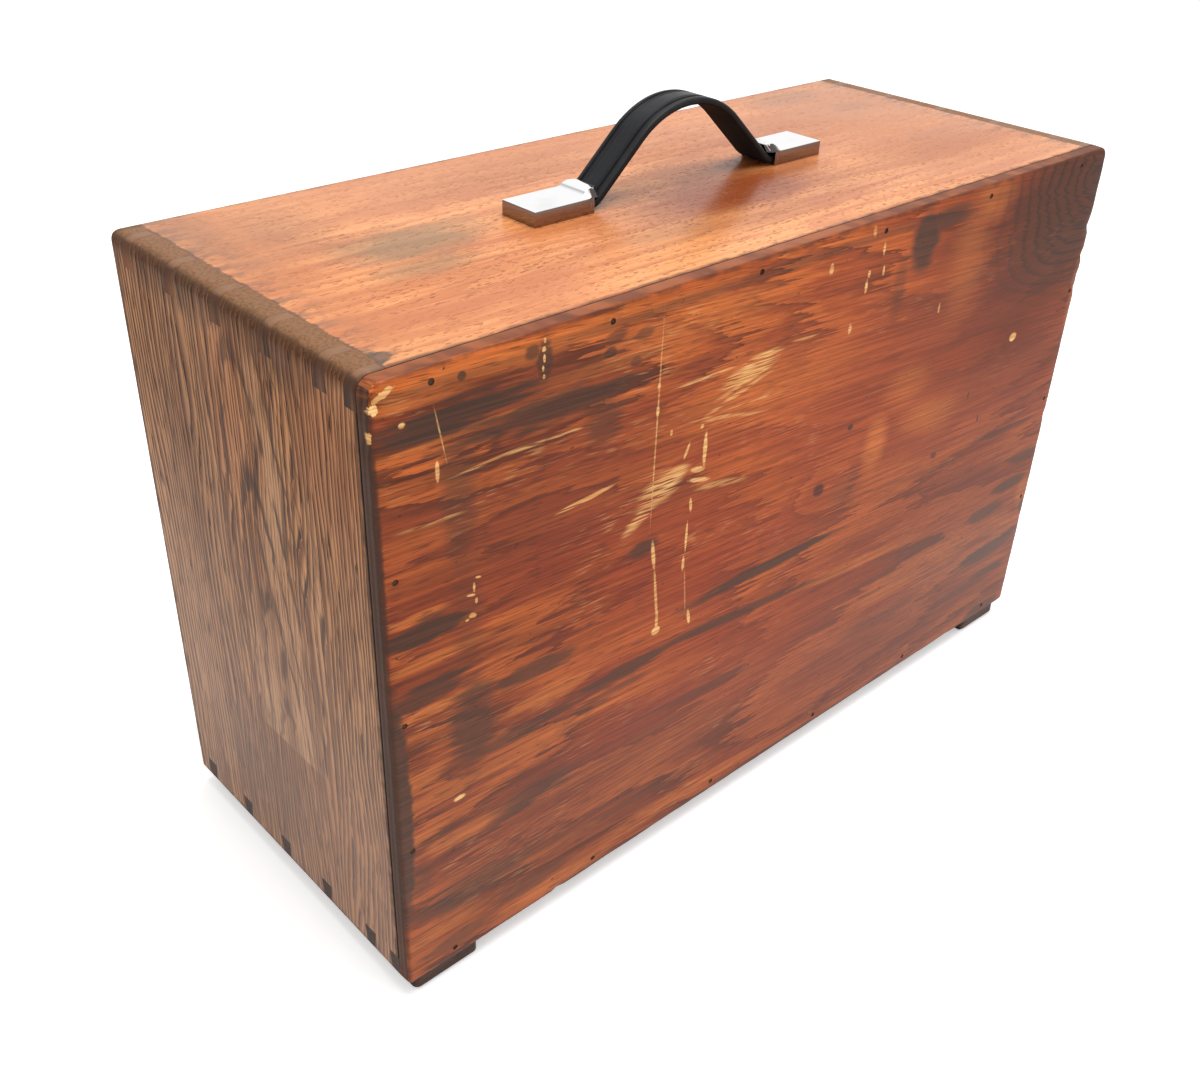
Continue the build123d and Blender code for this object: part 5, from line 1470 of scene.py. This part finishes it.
# place, what it shines at, size and power of each lamp
lamps = {
    "topLamp": ((-0.1, 0.2, 1.6), (0.0, 0.0, 0.3), 1.1, 22.0),
    "sideLamp": ((1.9, 0.4, 0.7), (0.2, 0.0, 0.15), 1.0, 2.0),
}


def makeFloor():
    deselectAll()
    bpy.ops.mesh.primitive_plane_add(size=studio["floorSize"], location=(0, 0, 0))
    floor = newPiece("paleFloor")
    material, tree, shader = newMaterial("paleFloor")
    shader.inputs["Base Color"].default_value = studio["floorColour"]
    shader.inputs["Roughness"].default_value = studio["floorRough"]
    shader.inputs["Specular IOR Level"].default_value = studio["floorGloss"]
    rays = addNode(tree, "ShaderNodeLightPath").outputs
    seen = times(tree, rays["Is Camera Ray"], studio["floorGlow"])
    glow = addNode(tree, "ShaderNodeEmission", {"Color": (1, 1, 1, 1), "Strength": seen})
    both = addNode(tree, "ShaderNodeAddShader", {0: shader.outputs[0], 1: glow.outputs[0]})
    tree.links.new(both.outputs[0], tree.nodes["Material Output"].inputs["Surface"])
    floor.data.materials.append(material)


def makeLight():
    # the camera, and metal and glass, see a white world; the object gets less light than that
    world = bpy.context.scene.world or bpy.data.worlds.new("studioWorld")
    bpy.context.scene.world = world
    world.use_nodes = True
    tree = world.node_tree
    background = tree.nodes["Background"]
    background.inputs["Color"].default_value = (1, 1, 1, 1)
    rays = addNode(tree, "ShaderNodeLightPath").outputs
    direct = calc(tree, "MAXIMUM", rays["Is Glossy Ray"], rays["Is Transmission Ray"])
    direct = calc(tree, "MAXIMUM", rays["Is Camera Ray"], direct)
    strength = between(tree, direct, 0.0, 1.0, studio["worldLight"], 1.0, smooth=False)
    tree.links.new(strength, background.inputs["Strength"])
    for name, (place, target, size, power) in lamps.items():
        bpy.ops.object.light_add(type="AREA", location=place)
        lamp = bpy.context.object
        lamp.name = name
        lamp.data.size = size
        lamp.data.energy = power
        lamp.rotation_euler = (Vector(place) - Vector(target)).to_track_quat("Z", "Y").to_euler()


def makeCamera():
    turn = [math.radians(angle) for angle in studio["cameraTurn"]]
    bpy.ops.object.camera_add(location=studio["cameraPlace"], rotation=turn)
    camera = bpy.context.object
    camera.data.lens = studio["lens"]
    camera.data.sensor_width = studio["sensor"]
    camera.data.clip_start = studio["nearest"]
    bpy.context.scene.camera = camera
    bpy.context.scene.view_settings.view_transform = "Standard"


makeFloor()
makeLight()
makeCamera()
print("studio set")
